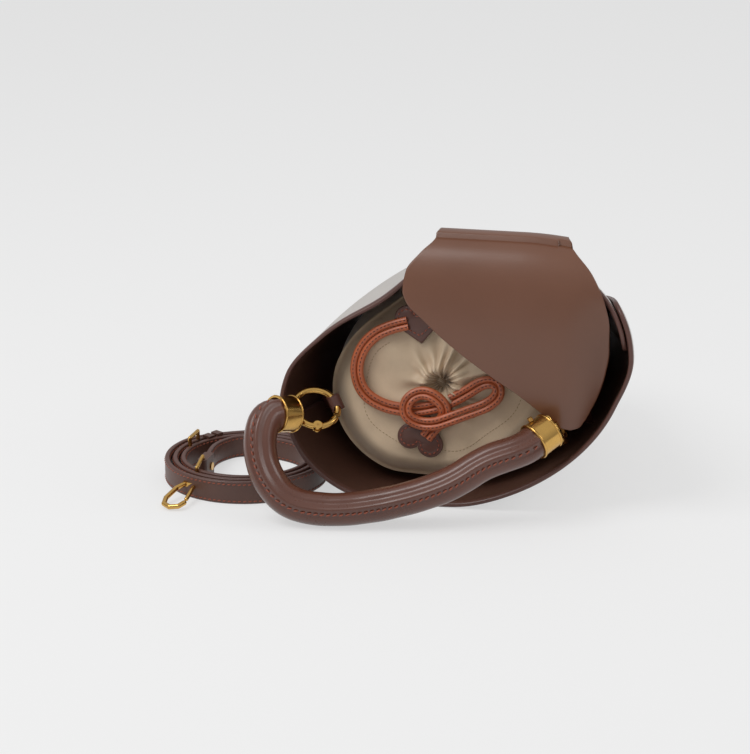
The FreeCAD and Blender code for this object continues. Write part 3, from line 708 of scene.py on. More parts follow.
@dataclass
class Studio:
    """Floor, light and camera."""

    floor_size: float = 14.0
    background: float = 0.9
    distance: float = 1600.0
    elevation: float = 19.5
    lens: float = 109.7
    shift: float = 43.0 / 754.0

    def camera(self) -> None:
        """Place the camera in front of the mouth."""
        target = CAMERA_AIM.copy()
        rise = math.radians(self.elevation)
        away = Vector((0.0, -math.cos(rise), math.sin(rise)))
        data = bpy.data.cameras.new("camera")
        data.lens = self.lens
        data.sensor_width = 36.0
        data.shift_y = self.shift
        data.clip_end = 60.0
        made = bpy.data.objects.new("camera", data)
        made.location = (target + away * self.distance) * MM
        made.rotation_euler = (math.pi / 2 - rise, 0.0, 0.0)
        bpy.context.scene.collection.objects.link(made)
        bpy.context.scene.camera = made

    def floor(self) -> None:
        """Lay a plain pale floor that keeps a soft shadow."""
        paint = Paint("floor_white")
        lit = paint.node("ShaderNodeBsdfDiffuse", {}, {"Color": (0.8, 0.8, 0.8)})
        glow = paint.node("ShaderNodeEmission", {}, {"Color": (1.0, 1.0, 1.0), "Strength": self.background})
        seen = paint.node("ShaderNodeMixShader", {}, {0: 0.62, 1: lit, 2: glow})
        path = paint.node("ShaderNodeLightPath", output="Is Camera Ray")
        shiny = paint.node("ShaderNodeLightPath", output="Is Glossy Ray")
        both = paint.node("ShaderNodeMath", {"operation": "MAXIMUM"}, {0: path, 1: shiny})
        shader = paint.node("ShaderNodeMixShader", {}, {0: both, 1: lit, 2: seen})
        half = self.floor_size / 2
        corners = ((-half, -half, 0.0), (half, -half, 0.0), (half, half, 0.0), (-half, half, 0.0))
        data = bpy.data.meshes.new("floor")
        data.from_pydata(corners, [], [(0, 1, 2, 3)])
        data.materials.append(paint.output(shader))
        made = bpy.data.objects.new("floor", data)
        bpy.context.scene.collection.objects.link(made)
        made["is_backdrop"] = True

    def sky(self) -> None:
        """Light everything from all round, brighter above."""
        world = bpy.data.worlds.new("world")
        world.use_nodes = True
        tree = world.node_tree
        tree.nodes.clear()
        place = tree.nodes.new("ShaderNodeTexCoord")
        split = tree.nodes.new("ShaderNodeSeparateXYZ")
        ramp = tree.nodes.new("ShaderNodeValToRGB")
        ramp.color_ramp.elements[0].position = 0.0
        ramp.color_ramp.elements[0].color = (0.34, 0.34, 0.35, 1.0)
        ramp.color_ramp.elements[1].position = 0.75
        ramp.color_ramp.elements[1].color = (0.62, 0.62, 0.62, 1.0)
        back = tree.nodes.new("ShaderNodeBackground")
        plain = tree.nodes.new("ShaderNodeBackground")
        plain.inputs["Color"].default_value = (self.background, self.background, self.background, 1.0)
        path = tree.nodes.new("ShaderNodeLightPath")
        mix = tree.nodes.new("ShaderNodeMixShader")
        out = tree.nodes.new("ShaderNodeOutputWorld")
        tree.links.new(place.outputs["Generated"], split.inputs[0])
        tree.links.new(split.outputs["Z"], ramp.inputs[0])
        tree.links.new(ramp.outputs["Color"], back.inputs["Color"])
        tree.links.new(path.outputs["Is Camera Ray"], mix.inputs[0])
        tree.links.new(back.outputs[0], mix.inputs[1])
        tree.links.new(plain.outputs[0], mix.inputs[2])
        tree.links.new(mix.outputs[0], out.inputs["Surface"])
        bpy.context.scene.world = world

    def lamp(self, name: str, spot: tuple[float, float, float], aim: tuple[float, float, float],
             size: float, power: float) -> None:
        """A soft square lamp.

        Args:
            name: the lamp's name.
            spot: where it hangs, in metres.
            aim: where it points.
            size: side of the square.
            power: watts.
        """
        data = bpy.data.lights.new(name, "AREA")
        data.size = size
        data.energy = power
        made = bpy.data.objects.new(name, data)
        made.location = spot
        made.rotation_euler = (Vector(aim) - Vector(spot)).to_track_quat("-Z", "Y").to_euler()
        bpy.context.scene.collection.objects.link(made)

    def build(self) -> None:
        """Set up everything."""
        bpy.context.scene.view_settings.view_transform = "Standard"
        self.camera()
        self.floor()
        self.sky()
        self.lamp("key", (-0.9, -0.5, 1.5), (0.0, 0.0, 0.05), 0.9, 13.0)
        self.lamp("right", (1.4, -0.3, 1.1), (0.0, 0.0, 0.05), 0.7, 4.5)


# ------------------------------------------------------------------ cords

@dataclass
class Drawstring:
    """Two rolled leather strands from one heart-shaped tab through a bow-like knot to the other."""

    thick: float = 4.2
    gap: float = 4.5
    rest: float = 163.6
    route: tuple[tuple[float, float, float], ...] = (
        (-31, 34, 0.6), (-46, 30, 0.2), (-59, 19, 0), (-64, 3, 0), (-59, -12, 0), (-46, -19.5, 0),
        (-32, -21.5, 0), (-18, -20, 0), (-4, -15, 0), (8, -7.5, 0), (18, 0, 1), (27, 0.5, 2), (29, -7, 2),
        (22, -14.5, 1), (10, -19.5, 2.4), (-1, -24, 5.2), (-11, -28.5, 4.4), (-22, -29, 2.4),
        (-30, -23.5, 4.9), (-29.5, -14, 4.6), (-21, -8.5, 2), (-11, -10.5, 4.0), (-4, -17.5, 4.6),
        (-6, -25.5, 0.2), (-13, -32, 0.2), (-17, -38, 1))
    seam_pitch: float = 2.6

    def strand(self, name: str, side: float) -> bpy.types.Object:
        """One strand, beside the middle of the pair.

        Args:
            name: its name.
            side: -1 or 1.

        Returns:
            The cord.
        """
        points = []
        last = len(self.route) - 1
        for i, (x, y, z) in enumerate(self.route):
            x0, y0, _ = self.route[max(i - 1, 0)]
            x1, y1, _ = self.route[min(i + 1, last)]
            run = math.hypot(x1 - x0, y1 - y0)
            reach = side * self.gap / 2
            points.append(BAG.at(x - (y1 - y0) / run * reach, y + (x1 - x0) / run * reach, self.rest + z))
        cord = nurbs_object(name, points, self.thick / 2 * MM)
        cord.data.materials.append(WARDROBE.get(Finish.CORD))
        line = nurbs_line(points, 0.0006)
        up = [(BAG.z - t * BAG.z.dot(t)).normalized() for t in tangents(line)]
        raised = [p + n * (self.thick / 2 * MM) for p, n in zip(line, up)]
        seam = stitches(name + "_seam", spots_along(raised, up, self.seam_pitch * MM), 0.0017, 0.0006,
                        Finish.DARK_THREAD)
        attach(seam, "bag")
        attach(cord, "bag")
        length = sum((b - a).length for a, b in zip(line, line[1:]))
        tuple(line[0])
        LOG.info("%s: %.3f m long", name, length)
        return cord

    def build(self) -> None:
        """Lay both strands."""
        first = self.strand("drawstring_left", 1.0)
        second = self.strand("drawstring_right", -1.0)
        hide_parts("drawstring_outer", "drawstring_bow", "drawstring_knot")
        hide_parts("drawstring_inner", "drawstring_tail")


@dataclass
class Strap:
    """The flat shoulder strap, standing on edge in loose turns with a swivel hook at each end."""

    width: float = 15.0
    thick: float = 3.0
    middle: tuple[float, float] = (-81.0, -110.0)
    turns: int = 3
    radii: tuple[float, ...] = (39.2, 44.7, 50.2, 55.6)
    stitch_in: float = 1.9
    lead: tuple[tuple[float, float, float], ...] = (
        (-107.2, -118.5, 3.2), (-105.6, -106, 3.0), (-104, -92, 1.4), (-98, -79, 0), (-88, -71, 0))
    tail: tuple[tuple[float, float, float], ...] = (
        (-62, -58.6, 0), (-46, -64, 0), (-33, -63, 0), (-25, -57, 1.6), (-21.5, -48, 3.2))

    def route(self) -> list[Vector]:
        """The listed leads with the turns between them.

        Returns:
            Control points in metres.
        """
        points = [FLOOR.at(x, y, z + self.width / 2) for x, y, z in self.lead]
        count = self.turns * 12
        for k in range(1, count):
            turn = k / 12.0
            i = min(int(turn), self.turns - 1)
            reach = self.radii[i] + (self.radii[i + 1] - self.radii[i]) * (turn - i)
            angle = math.radians(100.0 - 30.0 * k)
            points.append(FLOOR.at(self.middle[0] + reach * math.cos(angle),
                                   self.middle[1] + (reach - 3.0) * math.sin(angle), self.width / 2))
        return points + [FLOOR.at(x, y, z + self.width / 2) for x, y, z in self.tail]

    def section(self) -> list[tuple[float, float]]:
        """Outline of the strap across its length, with softened edges."""
        t, w, soft = self.thick / 2, self.width / 2, 0.9
        quarter = []
        for k in range(5):
            angle = math.pi / 2 * k / 4
            quarter.append((t - soft + soft * math.cos(angle), w - soft + soft * math.sin(angle)))
        face = [(t + 0.15, 0.0), (t, w * 0.55), (t - 0.05, w - self.stitch_in), (t, w - 1.2)]
        half = face + quarter
        right = half + [(-x, y) for x, y in reversed(half)]
        return right + [(-x, -y) for x, y in right[1:-1]]

    def build(self) -> None:
        """Sweep the strap and sew it."""
        route = self.route()
        line = nurbs_line(route, 0.002)
        up = Vector((0, 0, 1))
        section = self.section()
        rings = []
        for point, ahead in zip(line, tangents(line)):
            out = ahead.cross(up).normalized()
            rings.append([point + out * (x * MM) + up * (y * MM) for x, y in section])
        edge = [abs(y) > self.width / 2 - 0.8 for _, y in section]
        strap = loft("shoulder_strap", rings, [Finish.STRAP, Finish.EDGE], lambda i, k: int(edge[k]))
        fine = nurbs_line(route, 0.0008)
        outs = [t.cross(up).normalized() for t in tangents(fine)]
        spots = []
        for face in (1, -1):
            for level in (1, -1):
                offset = level * (self.width / 2 - self.stitch_in) * MM
                row = [p + n * (face * self.thick / 2 * MM) + up * offset for p, n in zip(fine, outs)]
                spots += spots_along(row, [n * face for n in outs], 0.0033, 0.18)
        seam = stitches("shoulder_strap_seam", spots, 0.0023, 0.00085, Finish.RED_THREAD)
        for piece in (strap, seam):
            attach(piece, "strap")
        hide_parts("strap_coil", "strap_buckle_run", "strap_hook_run", "strap_tail_run")
        length = sum((b - a).length for a, b in zip(line, line[1:]))
        tuple(line[0])
        [tuple(p) for p in line]
        LOG.info("shoulder strap: %.3f m long", length)


# ------------------------------------------------------------------ the walls

@dataclass
class Wall:
    """The bag's wall as a formula: a flared, turned and flattened tub."""

    height: float = 172.0
    base_long: float = 68.0
    base_short: float = 58.0
    mouth_long: float = 108.0
    mouth_short: float = 79.0
    turn: float = math.radians(22.0)
    swell: float = 6.0
    dent: float = 17.0
    flat: float = 3.0
    right_rise: float = 12.0
    left_rise: float = 4.0
    blend: float = 1.2

    def radius(self, theta: float, z: float) -> float:
        """Outer radius in millimetres at an angle in degrees and a height."""
        part = z / self.height
        long_half = self.base_long + part * (self.mouth_long - self.base_long)
        short_half = self.base_short + part * (self.mouth_short - self.base_short)
        angle = math.radians(theta)
        local = angle - self.turn * part
        radius = long_half * short_half / math.hypot(short_half * math.cos(local),
                                                     long_half * math.sin(local))
        low_side = max(0.0, -math.sin(angle))
        radius += self.swell * 4.0 * part * max(0.0, 1.15 - part) * (1.0 - low_side) ** 0.7
        radius -= self.dent * part ** 2 * bump(theta, 137.0, 34.0)
        if math.sin(angle) < -0.2:
            base_drop = self.base_short - self.flat
            mouth_drop = math.hypot(self.mouth_long * math.sin(self.turn),
                                    self.mouth_short * math.cos(self.turn)) - self.flat
            floor = (base_drop + part * (mouth_drop - base_drop)) / -math.sin(angle)
            away = abs(radius - floor) / self.blend
            radius = min(radius, floor) - self.blend * math.log(1.0 + math.exp(-away))
        return radius

    def at(self, theta: float, z: float, inset: float) -> Vector:
        """A point on the wall in metres, inset from its outer face."""
        reach = self.radius(theta, z) - inset
        return BAG.at(reach * math.cos(math.radians(theta)), reach * math.sin(math.radians(theta)), z)

    def rim(self, theta: float) -> float:
        """Height of the rim, which rises to the two petal tips."""
        return (self.height + self.right_rise * bump(theta, 24.0, 30.0)
                + self.left_rise * bump(theta, 194.0, 22.0))

    def normal(self, theta: float, z: float) -> Vector:
        """Outward direction of the wall."""
        across = self.at(theta + 1.0, z, 0.0) - self.at(theta - 1.0, z, 0.0)
        rise = self.at(theta, z + 2.0, 0.0) - self.at(theta, z - 2.0, 0.0)
        return across.cross(rise).normalized()


WALL = Wall()


@dataclass
class Petal:
    """One overlapping wall panel: taupe leather outside, brown lining inside, painted edge."""

    name: str
    start: float
    end: float
    leather: float = 3.0
    lap_gap: float = 0.8
    corner: float = 13.0
    lap_full: float = 19.0
    lap_ramp: float = 16.0
    columns: int = 110
    levels: int = 40

    def step_out(self, theta: float) -> float:
        """How far the panel stands off near its lapping end."""
        part = (self.lap_full + self.lap_ramp - abs(theta - self.end)) / self.lap_ramp
        return (self.leather + self.lap_gap) * smooth(part)

    def top(self, theta: float) -> float:
        """Height of the edge, rounded at the lapping corner."""
        top = WALL.rim(theta)
        for end in (self.end, self.start):
            away = abs(theta - end) * math.radians(1.0) * WALL.radius(theta, WALL.height)
            if away < self.corner:
                top -= self.corner - math.sqrt(self.corner ** 2 - (self.corner - away) ** 2)
        return top

    def build(self) -> bpy.types.Object:
        """Make the panel.

        Returns:
            The piece.
        """
        half = self.leather / 2
        rings = []
        span = self.end - self.start
        shares = [i / self.columns for i in range(self.columns + 1)]
        nudge = 0.35 / span
        shares = [0.0, nudge, 2.5 * nudge] + shares[1:-1] + [1 - 2.5 * nudge, 1 - nudge, 1.0]
        pinch = {0: 0.45, 1: 0.8, 2: 0.97, len(shares) - 3: 0.97, len(shares) - 2: 0.8, len(shares) - 1: 0.45}
        for i, share in enumerate(shares):
            theta = self.start + span * share
            out = self.step_out(theta)
            fat = half * pinch.get(i, 1.0)
            top = self.top(theta)
            ring = [WALL.at(theta, top * k / self.levels, half - out - fat) for k in range(self.levels)]
            for k in range(7):
                angle = math.pi * k / 6
                ring.append(WALL.at(theta, top - fat + fat * math.sin(angle),
                                    half - out - fat * math.cos(angle)))
            ring += [WALL.at(theta, top * k / self.levels, half - out + fat)
                     for k in reversed(range(self.levels))]
            rings.append(ring)
        last = len(rings) - 2

        def pick(i: int, k: int) -> int:
            """Finish number: 0 outside, 1 inside, 2 painted edge."""
            if i <= 1 or i >= last - 1 or self.levels - 1 <= k <= self.levels + 6:
                return 2
            return 0 if k < self.levels else 1

        panel = loft(self.name + "_panel", rings, [Finish.SHELL, Finish.LINING, Finish.EDGE], pick)
        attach(panel, "bag")
        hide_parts(self.name + "_shell", self.name + "_lining")
        return panel


@dataclass
class Flap:
    """The flap, hinged on the back wall and folded over the mouth."""

    hinge_y: float = 89.57
    hinge_z: float = 158.0
    thick: float = 2.8
    long_way: float = 139.5
    rows: int = 90
    columns: int = 70
    left: tuple[tuple[float, float], ...] = (
        (0, -12), (14, -11), (24, -13), (34, -20), (46, -28), (58, -29.5), (66, -26.5), (76, -16), (89, -1),
        (100, 13.5), (110, 28), (120, 43), (130, 56), (136, 64), (139.5, 70))
    right: tuple[tuple[float, float], ...] = (
        (0, 66), (14, 68), (24, 74), (36, 86), (50, 94), (64, 97), (80, 97), (96, 95), (112, 91), (124, 86.5),
        (132, 83), (137, 80), (139.5, 75))

    def spine(self, x: float) -> list[tuple[float, float]]:
        """The flap's side view at one place across it.

        Args:
            x: place across the bag.

        Returns:
            Points from the hinge to the free edge.
        """
        part = max(0.0, (x - 40.0) / 60.0)
        sink, back = 5.0 * part ** 2, 8.0 * part ** 2
        height = WALL.height
        curl = 14.0 * smooth((x - 68.0) / 30.0)
        return [(self.hinge_y - back, self.hinge_z), (self.hinge_y + 3.0 - back, height - 4),
                (self.hinge_y + 2.0 - back, height + 5 - sink),
                (self.hinge_y - 3.5 - back, height + 12.5 - sink),
                (self.hinge_y - 12.5 - back, height + 18 - sink),
                (65 - back, height + 21 - sink - curl * 0.1),
                (45 - back * 0.6, height + 22 - sink - curl * 0.4), (25, height + 20.5 - sink - curl * 0.75),
                (0, height + 15.6 - sink - curl), (-24, height + 6.5 - sink - curl)]

    def build(self) -> None:
        """Make the flap as a thick sheet with a painted edge."""
        grid = []
        for i in range(self.rows + 1):
            run = self.long_way * (1 - (1 - i / self.rows) ** 1.15)
            low, high = through(self.left, run), through(self.right, run)
            row = []
            for j in range(self.columns + 1):
                part = j / self.columns
                share = 0.35 * (0.5 - 0.5 * math.cos(math.pi * part)) + 0.65 * part
                row.append(self.surface(low + (high - low) * share, run))
            grid.append(row)
        self.skin(grid)

    def surface(self, x: float, run: float) -> Vector:
        """A point of the outer face by place across and distance from the hinge, in millimetres."""
        spine = self.spine(x)
        table_y, table_z, far = [], [], 0.0
        for k, (y, z) in enumerate(spine):
            if k:
                far += math.hypot(y - spine[k - 1][0], z - spine[k - 1][1])
            table_y.append((far, y))
            table_z.append((far, z))
        return Vector((x, soft_through(table_y, run), soft_through(table_z, run)))

    def skin(self, grid: list[list[Vector]]) -> None:
        """Thicken a grid of outer points and add it.

        Args:
            grid: rows of local points.
        """
        rows, columns = len(grid), len(grid[0])
        verts, faces, which = [], [], []
        for depth in (0.0, -self.thick):
            for i in range(rows):
                for j in range(columns):
                    a = grid[min(i + 1, rows - 1)][j] - grid[max(i - 1, 0)][j]
                    b = grid[i][min(j + 1, columns - 1)] - grid[i][max(j - 1, 0)]
                    normal = b.cross(a)
                    normal = normal.normalized() if normal.length > 1e-6 else Vector((0, 0, 1))
                    if normal.z < -0.5:
                        normal = -normal
                    p = grid[i][j] + normal * depth
                    verts.append(BAG.at(p.x, p.y, p.z))
        size = rows * columns
        for i in range(rows - 1):
            for j in range(columns - 1):
                a, d = i * columns + j, (i + 1) * columns + j
                b, c = a + 1, d + 1
                faces += [(a, b, c, d), (size + d, size + c, size + b, size + a)]
                which += [0, 1]
        border = ([(0, j) for j in range(columns)] + [(i, columns - 1) for i in range(1, rows)]
                  + [(rows - 1, j) for j in range(columns - 2, -1, -1)]
                  + [(i, 0) for i in range(rows - 2, 0, -1)])
        for (i0, j0), (i1, j1) in zip(border, border[1:] + border[:1]):
            a, b = i0 * columns + j0, i1 * columns + j1
            faces.append((a, size + a, size + b, b))
            which.append(2)
        flap = mesh_piece("flap_sheet", verts, faces, [Finish.FLAP, Finish.FLAP, Finish.EDGE], which)
        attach(flap, "flap")
        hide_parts("flap", "flap_lining")


def soft_through(points: Sequence[tuple[float, float]], at: float) -> float:
    """Value on a rounded curve through points, by cardinal blending.

    Args:
        points: pairs of place and value, in order.
        at: where to read; beyond the ends the line goes straight on.

    Returns:
        The value there.
    """
    i = max([k for k in range(len(points) - 1) if points[k][0] <= at] or [0])
    (x0, y0), (x1, y1) = points[i], points[i + 1]
    before = points[i - 1] if i else (2 * x0 - x1, 2 * y0 - y1)
    after = points[i + 2] if i + 2 < len(points) else (2 * x1 - x0, 2 * y1 - y0)
    h = x1 - x0
    m0 = (y1 - before[1]) / (x1 - before[0])
    m1 = (after[1] - y0) / (after[0] - x0)
    t = (at - x0) / h
    return ((2 * t ** 3 - 3 * t ** 2 + 1) * y0 + (t ** 3 - 2 * t ** 2 + t) * h * m0
            + (-2 * t ** 3 + 3 * t ** 2) * y1 + (t ** 3 - t ** 2) * h * m1)


# ------------------------------------------------------------------ the pouch

@dataclass
class Pouch:
    """The soft inner pouch, drawn in to a small hole in many radial folds."""

    top: float = 160.0
    wall_gap: float = 5.0
    room_left: float = 17.0
    room_right: float = 38.0
    hole: tuple[float, float] = (-10.0, -4.0)
    spokes: int = 288
    circles: int = 96
    folds: tuple[tuple[float, float, float], ...] = (
        (8, 2.3, 5.2), (25, 3.0, 5.0), (47, 2.2, 4.2), (66, 3.2, 5.6), (92, 2.6, 4.6), (112, 3.2, 5.6),
        (135, 2.2, 4.6), (152, 2.6, 5.0), (176, 1.8, 5.6), (203, 1.5, 6.6), (229, 1.5, 6.0), (252, 2.0, 5.2),
        (276, 2.6, 4.8), (297, 3.4, 5.2), (318, 3.0, 4.6), (338, 3.6, 5.6))

    def edge(self, theta: float, z: float) -> float:
        """Outer radius of the full pouch in millimetres."""
        room = self.room_left * bump(theta, 192.0, 42.0) + self.room_right * bump(theta, 2.0, 56.0) * 0.8
        return WALL.radius(theta, z) - 3.0 - self.wall_gap - 1.0 - room * (z / WALL.height) ** 2

    def fold(self, angle: float, share: float) -> float:
        """Height of the folds in millimetres.

        Args:
            angle: direction from the hole, in degrees.
            share: 0 at the hole, 1 at the pouch's edge.

        Returns:
            The height above the smooth dome.
        """
        height = 0.0
        for k, (middle, tall, wide) in enumerate(self.folds):
            wander = 5.0 * math.sin(2.2 * k + 5.0 * share)
            spread = wide * (1.0 + 1.9 * share + 0.35 * math.sin(1.7 * k))
            reach = 0.36 + 0.30 * (0.5 + 0.5 * math.sin(2.4 * k + 0.6))
            fade = smooth(1.0 - share / reach) ** 0.8 if share < reach else 0.0
            crest = 1.7 * tall * bump(angle, middle + wander, spread)
            height += crest * (0.22 + 0.78 * fade) * (0.4 + 0.6 * (1 - share))
        fine = math.sin(math.radians(angle * 23 + 40 * math.sin(math.radians(angle * 3)))) * 0.9
        height += fine * smooth(1.0 - share / 0.2)
        slack = (math.sin(math.radians(angle * 5 + 70)) * 0.9
                 + math.sin(math.radians(angle * 9 + 200 * share)) * 0.6)
        return height + slack * smooth(share / 0.35) * smooth((1.12 - share) / 0.5)

    def point(self, angle: float, share: float) -> Vector:
        """A local point of the drawn-in top.

        Args:
            angle: direction from the hole, in degrees.
            share: 0 at the hole, 1 at the edge.

        Returns:
            The point in millimetres.
        """
        theta = math.radians(angle)
        hx, hy = self.hole
        rim = self.edge(angle, self.top - 12.0)
        ex, ey = rim * math.cos(theta), rim * math.sin(theta)
        length = math.hypot(ex - hx, ey - hy)
        swing = math.radians(9.0) * (1.0 - share) ** 2
        ux, uy = (ex - hx) / length, (ey - hy) / length
        ux, uy = ux * math.cos(swing) - uy * math.sin(swing), ux * math.sin(swing) + uy * math.cos(swing)
        far = 3.2 + (length - 3.2) * share
        crown = 2.6 * math.sin(math.pi * min(1.0, share * 1.05)) ** 0.8
        fall = 14.0 * smooth((share - 0.72) / 0.28) ** 1.6
        pucker = 6.5 * smooth(1.0 - share / 0.09)
        lip = 4.6 * math.exp(-((share - 0.11) / 0.07) ** 2)
        z = self.top - 3.6 + crown - fall - pucker + lip + self.fold(angle, share)
        return Vector((hx + ux * far, hy + uy * far, z))

    def build(self) -> None:
        """Make the gathered top and the sides down to the base."""
        rings = []
        for j in range(self.circles + 1):
            share = (j / self.circles) ** 1.35
            rings.append([self.point(360.0 * i / self.spokes, share) for i in range(self.spokes)])
        outer = rings[-1]
        start_z = [p.z for p in outer]
        for step in range(1, 16):
            part = step / 15.0
            ring = []
            for i, rim in enumerate(outer):
                angle = 360.0 * i / self.spokes
                z = start_z[i] + (10.0 - start_z[i]) * part
                full = self.edge(angle, z) + 2.5 * smooth(part * 6) - 6.0 * smooth((part - 0.85) / 0.15)
                near = smooth(part * 5)
                reach = math.hypot(rim.x, rim.y) * (1 - near) + full * near
                reach += 0.8 * math.sin(math.radians(angle * 7 + z)) * near
                turn = math.radians(angle)
                ring.append(Vector((reach * math.cos(turn), reach * math.sin(turn), z)))
            rings.append(ring)
        verts = [BAG.at(p.x, p.y, p.z) for ring in rings for p in ring]
        faces = []
        n = self.spokes
        for j in range(len(rings) - 1):
            for i in range(n):
                m = (i + 1) % n
                faces.append((j * n + i, j * n + m, (j + 1) * n + m, (j + 1) * n + i))
        faces.append(tuple(range(n)))
        last = (len(rings) - 1) * n
        faces.append(tuple(last + i for i in reversed(range(n))))
        pouch = mesh_piece("pouch_cloth", verts, faces, [Finish.POUCH])
        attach(pouch, "bag")
        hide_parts("pouch_body", "pouch_top")
        self.seams()

    def seams(self) -> None:
        """Sew the channel seam that crosses the gathers."""
        spots = []
        for start, end in ((150.0, 236.0), (262.0, 372.0)):
            row = [self.point(start + (end - start) * k / 240.0, 0.66 + 0.02 * math.sin(k * 0.05))
                   for k in range(241)]
            line = [BAG.at(p.x, p.y, p.z + 0.15) for p in row]
            spots += spots_along(line, [BAG.z] * len(line), 0.0024)
        seam = stitches("pouch_seam", spots, 0.0015, 0.0004, Finish.SAND_THREAD)
        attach(seam, "bag")


# ------------------------------------------------------------------ the handle and its fittings

@dataclass
class Handle:
    """The padded rolled handle between its ferrules."""

    radius: float = 10.5
    route: tuple[tuple[float, float, float], ...] = (
        (-26.491, 15.13, -10.002), (-35.0, 20.0, -17.4), (-40.5, 26.0, -21.4), (-42.5, 42, -18.5),
        (-37, 60, -11),
        (-22, 75, -4), (4, 77, -2), (30, 73, -3), (56, 67, -7), (80, 58, -12), (98, 46, -19),
        (120.209, 38.455, -21.779), (127.5, 31.0, -20.6), (134.831, 23.566, -19.429))
    lip: float = 1.5

    def build(self) -> None:
        """Roll the leather and close it with a sewn seam."""
        points = [HANDLE.at(*p) for p in self.route]
        line = nurbs_line(points, 0.0018)
        length = (len(line) - 1) * 0.0018
        seam_side = HANDLE.along(0.05, -0.42, -0.9)
        radius = self.radius * MM

        def girth(share: float, angle: float) -> float:
            """Radius with a pinched lip where the seam closes."""
            angle = (angle + math.pi) % (2 * math.pi) - math.pi
            near_end = smooth(min(share, 1 - share) * length / 0.018)
            lip = math.exp(-(angle / 0.17) ** 2) - 0.55 * math.exp(-((abs(angle) - 0.42) / 0.16) ** 2)
            wave = 0.012 * math.sin(share * 61.0) * math.sin(angle * 2 + share * 20)
            return radius * (1.0 - 0.02 * near_end + wave * near_end) + self.lip * MM * lip * near_end

        body = tube("handle_roll", line, girth, seam_side, Finish.HANDLE, 72)
        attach(body, "handle")
        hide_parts("handle_cover", "handle_core")
        ways, sides = tangents(line), carried(line, seam_side)
        trim = int(0.015 / 0.0018)
        row, normals = [], []
        for point, ahead, out in list(zip(line, ways, sides))[trim:-trim]:
            over = ahead.cross(out)
            lean = 0.30
            normal = (out * math.cos(lean) + over * math.sin(lean)).normalized()
            row.append(point + normal * (radius * 0.985 + 0.0002))
            normals.append(normal)
        seam = stitches("handle_seam", spots_along(row, normals, 0.0042, 0.35), 0.0031, 0.0010,
                        Finish.RED_THREAD)
        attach(seam, "handle")


@dataclass
class Ferrule:
    """Raised rims on one handle ferrule."""

    side: str
    end: tuple[float, float, float]
    ahead: tuple[float, float, float]
    radius: float = 11.45
    length: float = 12.0

    def bead(self, name: str, at: float, fat: float) -> bpy.types.Object:
        """A rounded rim round the ferrule.

        Args:
            name: its name.
            at: distance from the handle's end in millimetres.
            fat: thickness of the rim.

        Returns:
            The rim.
        """
        start = HANDLE.at(*self.end)
        way = (HANDLE.at(*self.ahead) - start).normalized()
        middle = start + way * (at * MM)
        out = way.orthogonal().normalized()
        over = way.cross(out)
        rings = []
        for i in range(64):
            angle = 2 * math.pi * i / 64
            spoke = out * math.cos(angle) + over * math.sin(angle)
            ring = []
            for k in range(10):
                turn = 2 * math.pi * k / 10
                ring.append(middle + spoke * ((self.radius + fat * math.cos(turn)) * MM)
                            + way * (fat * 1.3 * math.sin(turn) * MM))
            rings.append(ring)
        bead = loft(name, rings, [Finish.GOLD], loop=True)
        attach(bead, "handle")
        return bead

    def build(self) -> None:
        """Add both rims."""
        self.bead(self.side + "_ferrule_rim", self.length - 0.8, 0.55)
        self.bead(self.side + "_ferrule_foot", -1.2, 0.5)


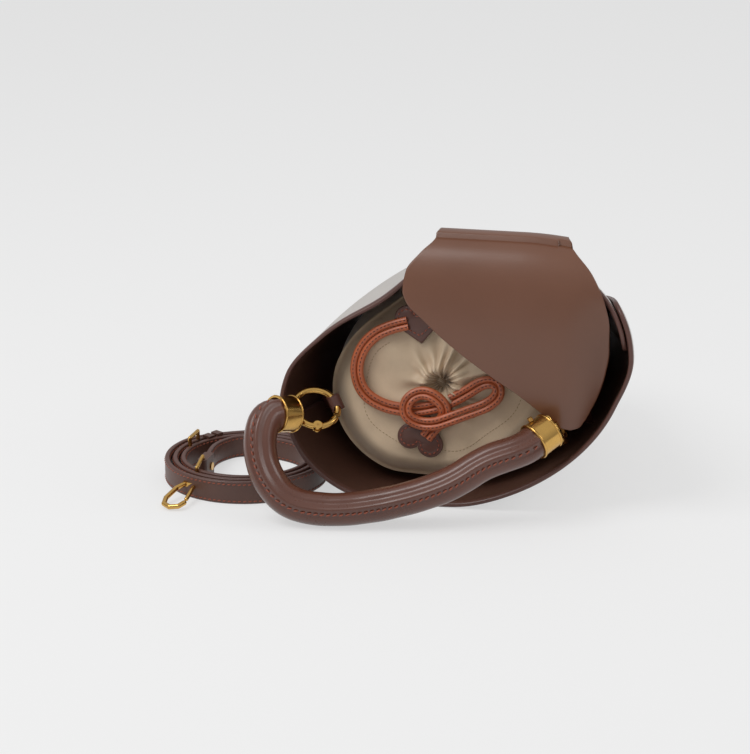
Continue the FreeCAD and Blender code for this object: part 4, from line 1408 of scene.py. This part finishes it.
@dataclass
class Heart:
    """A heart-shaped stitched leather tab at the end of the drawstring."""

    name: str
    at: tuple[float, float]
    turn: float
    thick: float = 3.2
    lobe: float = 8.0
    lobe_x: float = 7.0
    point: float = 17.0
    rest: float = 160.4

    def outline(self, inset: float, count: int = 30) -> list[tuple[float, float]]:
        """The heart's outline.

        Args:
            inset: how far inside the edge.
            count: points on each half.

        Returns:
            Points in the heart's own plane.
        """
        lobe = self.lobe - inset
        reach = math.hypot(self.lobe_x, self.point)
        slope = math.atan2(-self.point, -self.lobe_x)
        touch = slope + math.acos(self.lobe / reach)
        notch = math.pi - math.acos(min(1.0, self.lobe_x / lobe))
        tip = -self.point + inset * reach / self.lobe
        half = []
        for k in range(count):
            angle = notch + (touch - notch) * k / (count - 1)
            half.append((self.lobe_x + lobe * math.cos(angle), lobe * math.sin(angle)))
        last = half[-1]
        half += [(last[0] * (1 - k / 10.0), last[1] + (tip - last[1]) * k / 10.0) for k in range(1, 11)]
        return half + [(-x, y) for x, y in reversed(half[1:-1])]

    def place(self) -> Place:
        """The heart's frame on the pouch."""
        turn = math.radians(self.turn)
        return Place(BAG.at(self.at[0], self.at[1], self.rest) / MM,
                     BAG.along(math.cos(turn), math.sin(turn), 0.0),
                     BAG.along(-math.sin(turn), math.cos(turn), 0.0), BAG.z)

    def build(self) -> None:
        """Make the two stitched layers."""
        place = self.place()
        rings = []
        steps = ((0.9, 0.0), (0.25, 0.25), (0.0, 0.8), (0.0, 1.3), (0.22, 1.55), (0.22, 1.75), (0.0, 2.0),
                 (0.0, 2.5), (0.3, 3.0), (1.0, 3.25), (2.2, 3.1), (3.2, 3.55), (4.6, 3.9))
        for inset, z in steps:
            ring = []
            for x, y in self.outline(inset):
                bow = 0.6 * math.cos(x * 0.16) * math.cos((y + 4) * 0.12)
                ring.append(place.at(x, y, z + bow - 0.6))
            rings.append(ring)
        edge_to = 8
        heart = loft(self.name, rings, [Finish.TRIM, Finish.EDGE], lambda i, k: int(i < edge_to))
        row = self.outline(2.3)
        row = row + row[:1]
        line = even([place.at(x, y, 3.2 + 0.6 * math.cos(x * 0.16) * math.cos((y + 4) * 0.12) - 0.45)
                     for x, y in row], 0.0006)
        seam = stitches(self.name + "_seam", spots_along(line, [place.z] * len(line), 0.0029), 0.0019, 0.0008,
                        Finish.RED_THREAD)
        for piece in (heart, seam):
            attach(piece, "bag")
        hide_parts(self.name + "_tab")


class Fittings:
    """CAD parts whose shapes stay and that get their finish here."""

    def build(self) -> None:
        """Dress every carried-over part."""
        dress(("base_panel",), Finish.SHELL)
        dress(("flap_root",), Finish.FLAP)
        dress(("base_lining",), Finish.LINING)
        dress(("base_board",), Finish.BOARD)
        dress(("left_tab", "right_tab"), Finish.TRIM)
        dress(("strap_end_front", "strap_end_back", "strap_keeper_near", "strap_keeper_far"), Finish.STRAP)
        sides = ("left", "right")
        ends = ("front", "back")
        dress([s + n for s in sides for n in ("_ring", "_ring_gate", "_ferrule")], Finish.GOLD)
        hook_parts = ("hook_bail_", "hook_body_", "hook_gate_", "strap_screw_")
        dress([n + e for e in ends for n in hook_parts], Finish.GOLD)
        dress(("buckle_frame", "buckle_prong"), Finish.GOLD)
        dress([s + n for s in sides for n in ("_gate_pin", "_ferrule_screw")], Finish.PIN)
        dress(["hook_gate_pin_" + e for e in ends], Finish.PIN)


def main() -> None:
    """Build the bag, piece by piece."""
    logging.basicConfig(level=logging.INFO, format="%(message)s")
    steps = [Studio(), Drawstring(), Strap(), Petal("front", -164.0, 30.0), Petal("back", 14.0, 200.0),
             Flap(), Pouch(), Handle(),
             Ferrule("left", (-26.491, 15.13, -10.002), (-41.013, 23.393, -22.723)),
             Ferrule("right", (134.831, 23.566, -19.429), (120.209, 38.455, -21.779)),
             Heart("upper_heart", (-25.0, 38.0), 10.0), Heart("lower_heart", (-21.0, -40.5), 160.0),
             Fittings()]
    for step in steps:
        step.build()
        LOG.info("built %s", type(step).__name__.lower())
    [[list(map(float, corner)) for corner in box] for box in (CAD_BOX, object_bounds())]


if __name__ == "__main__":
    main()
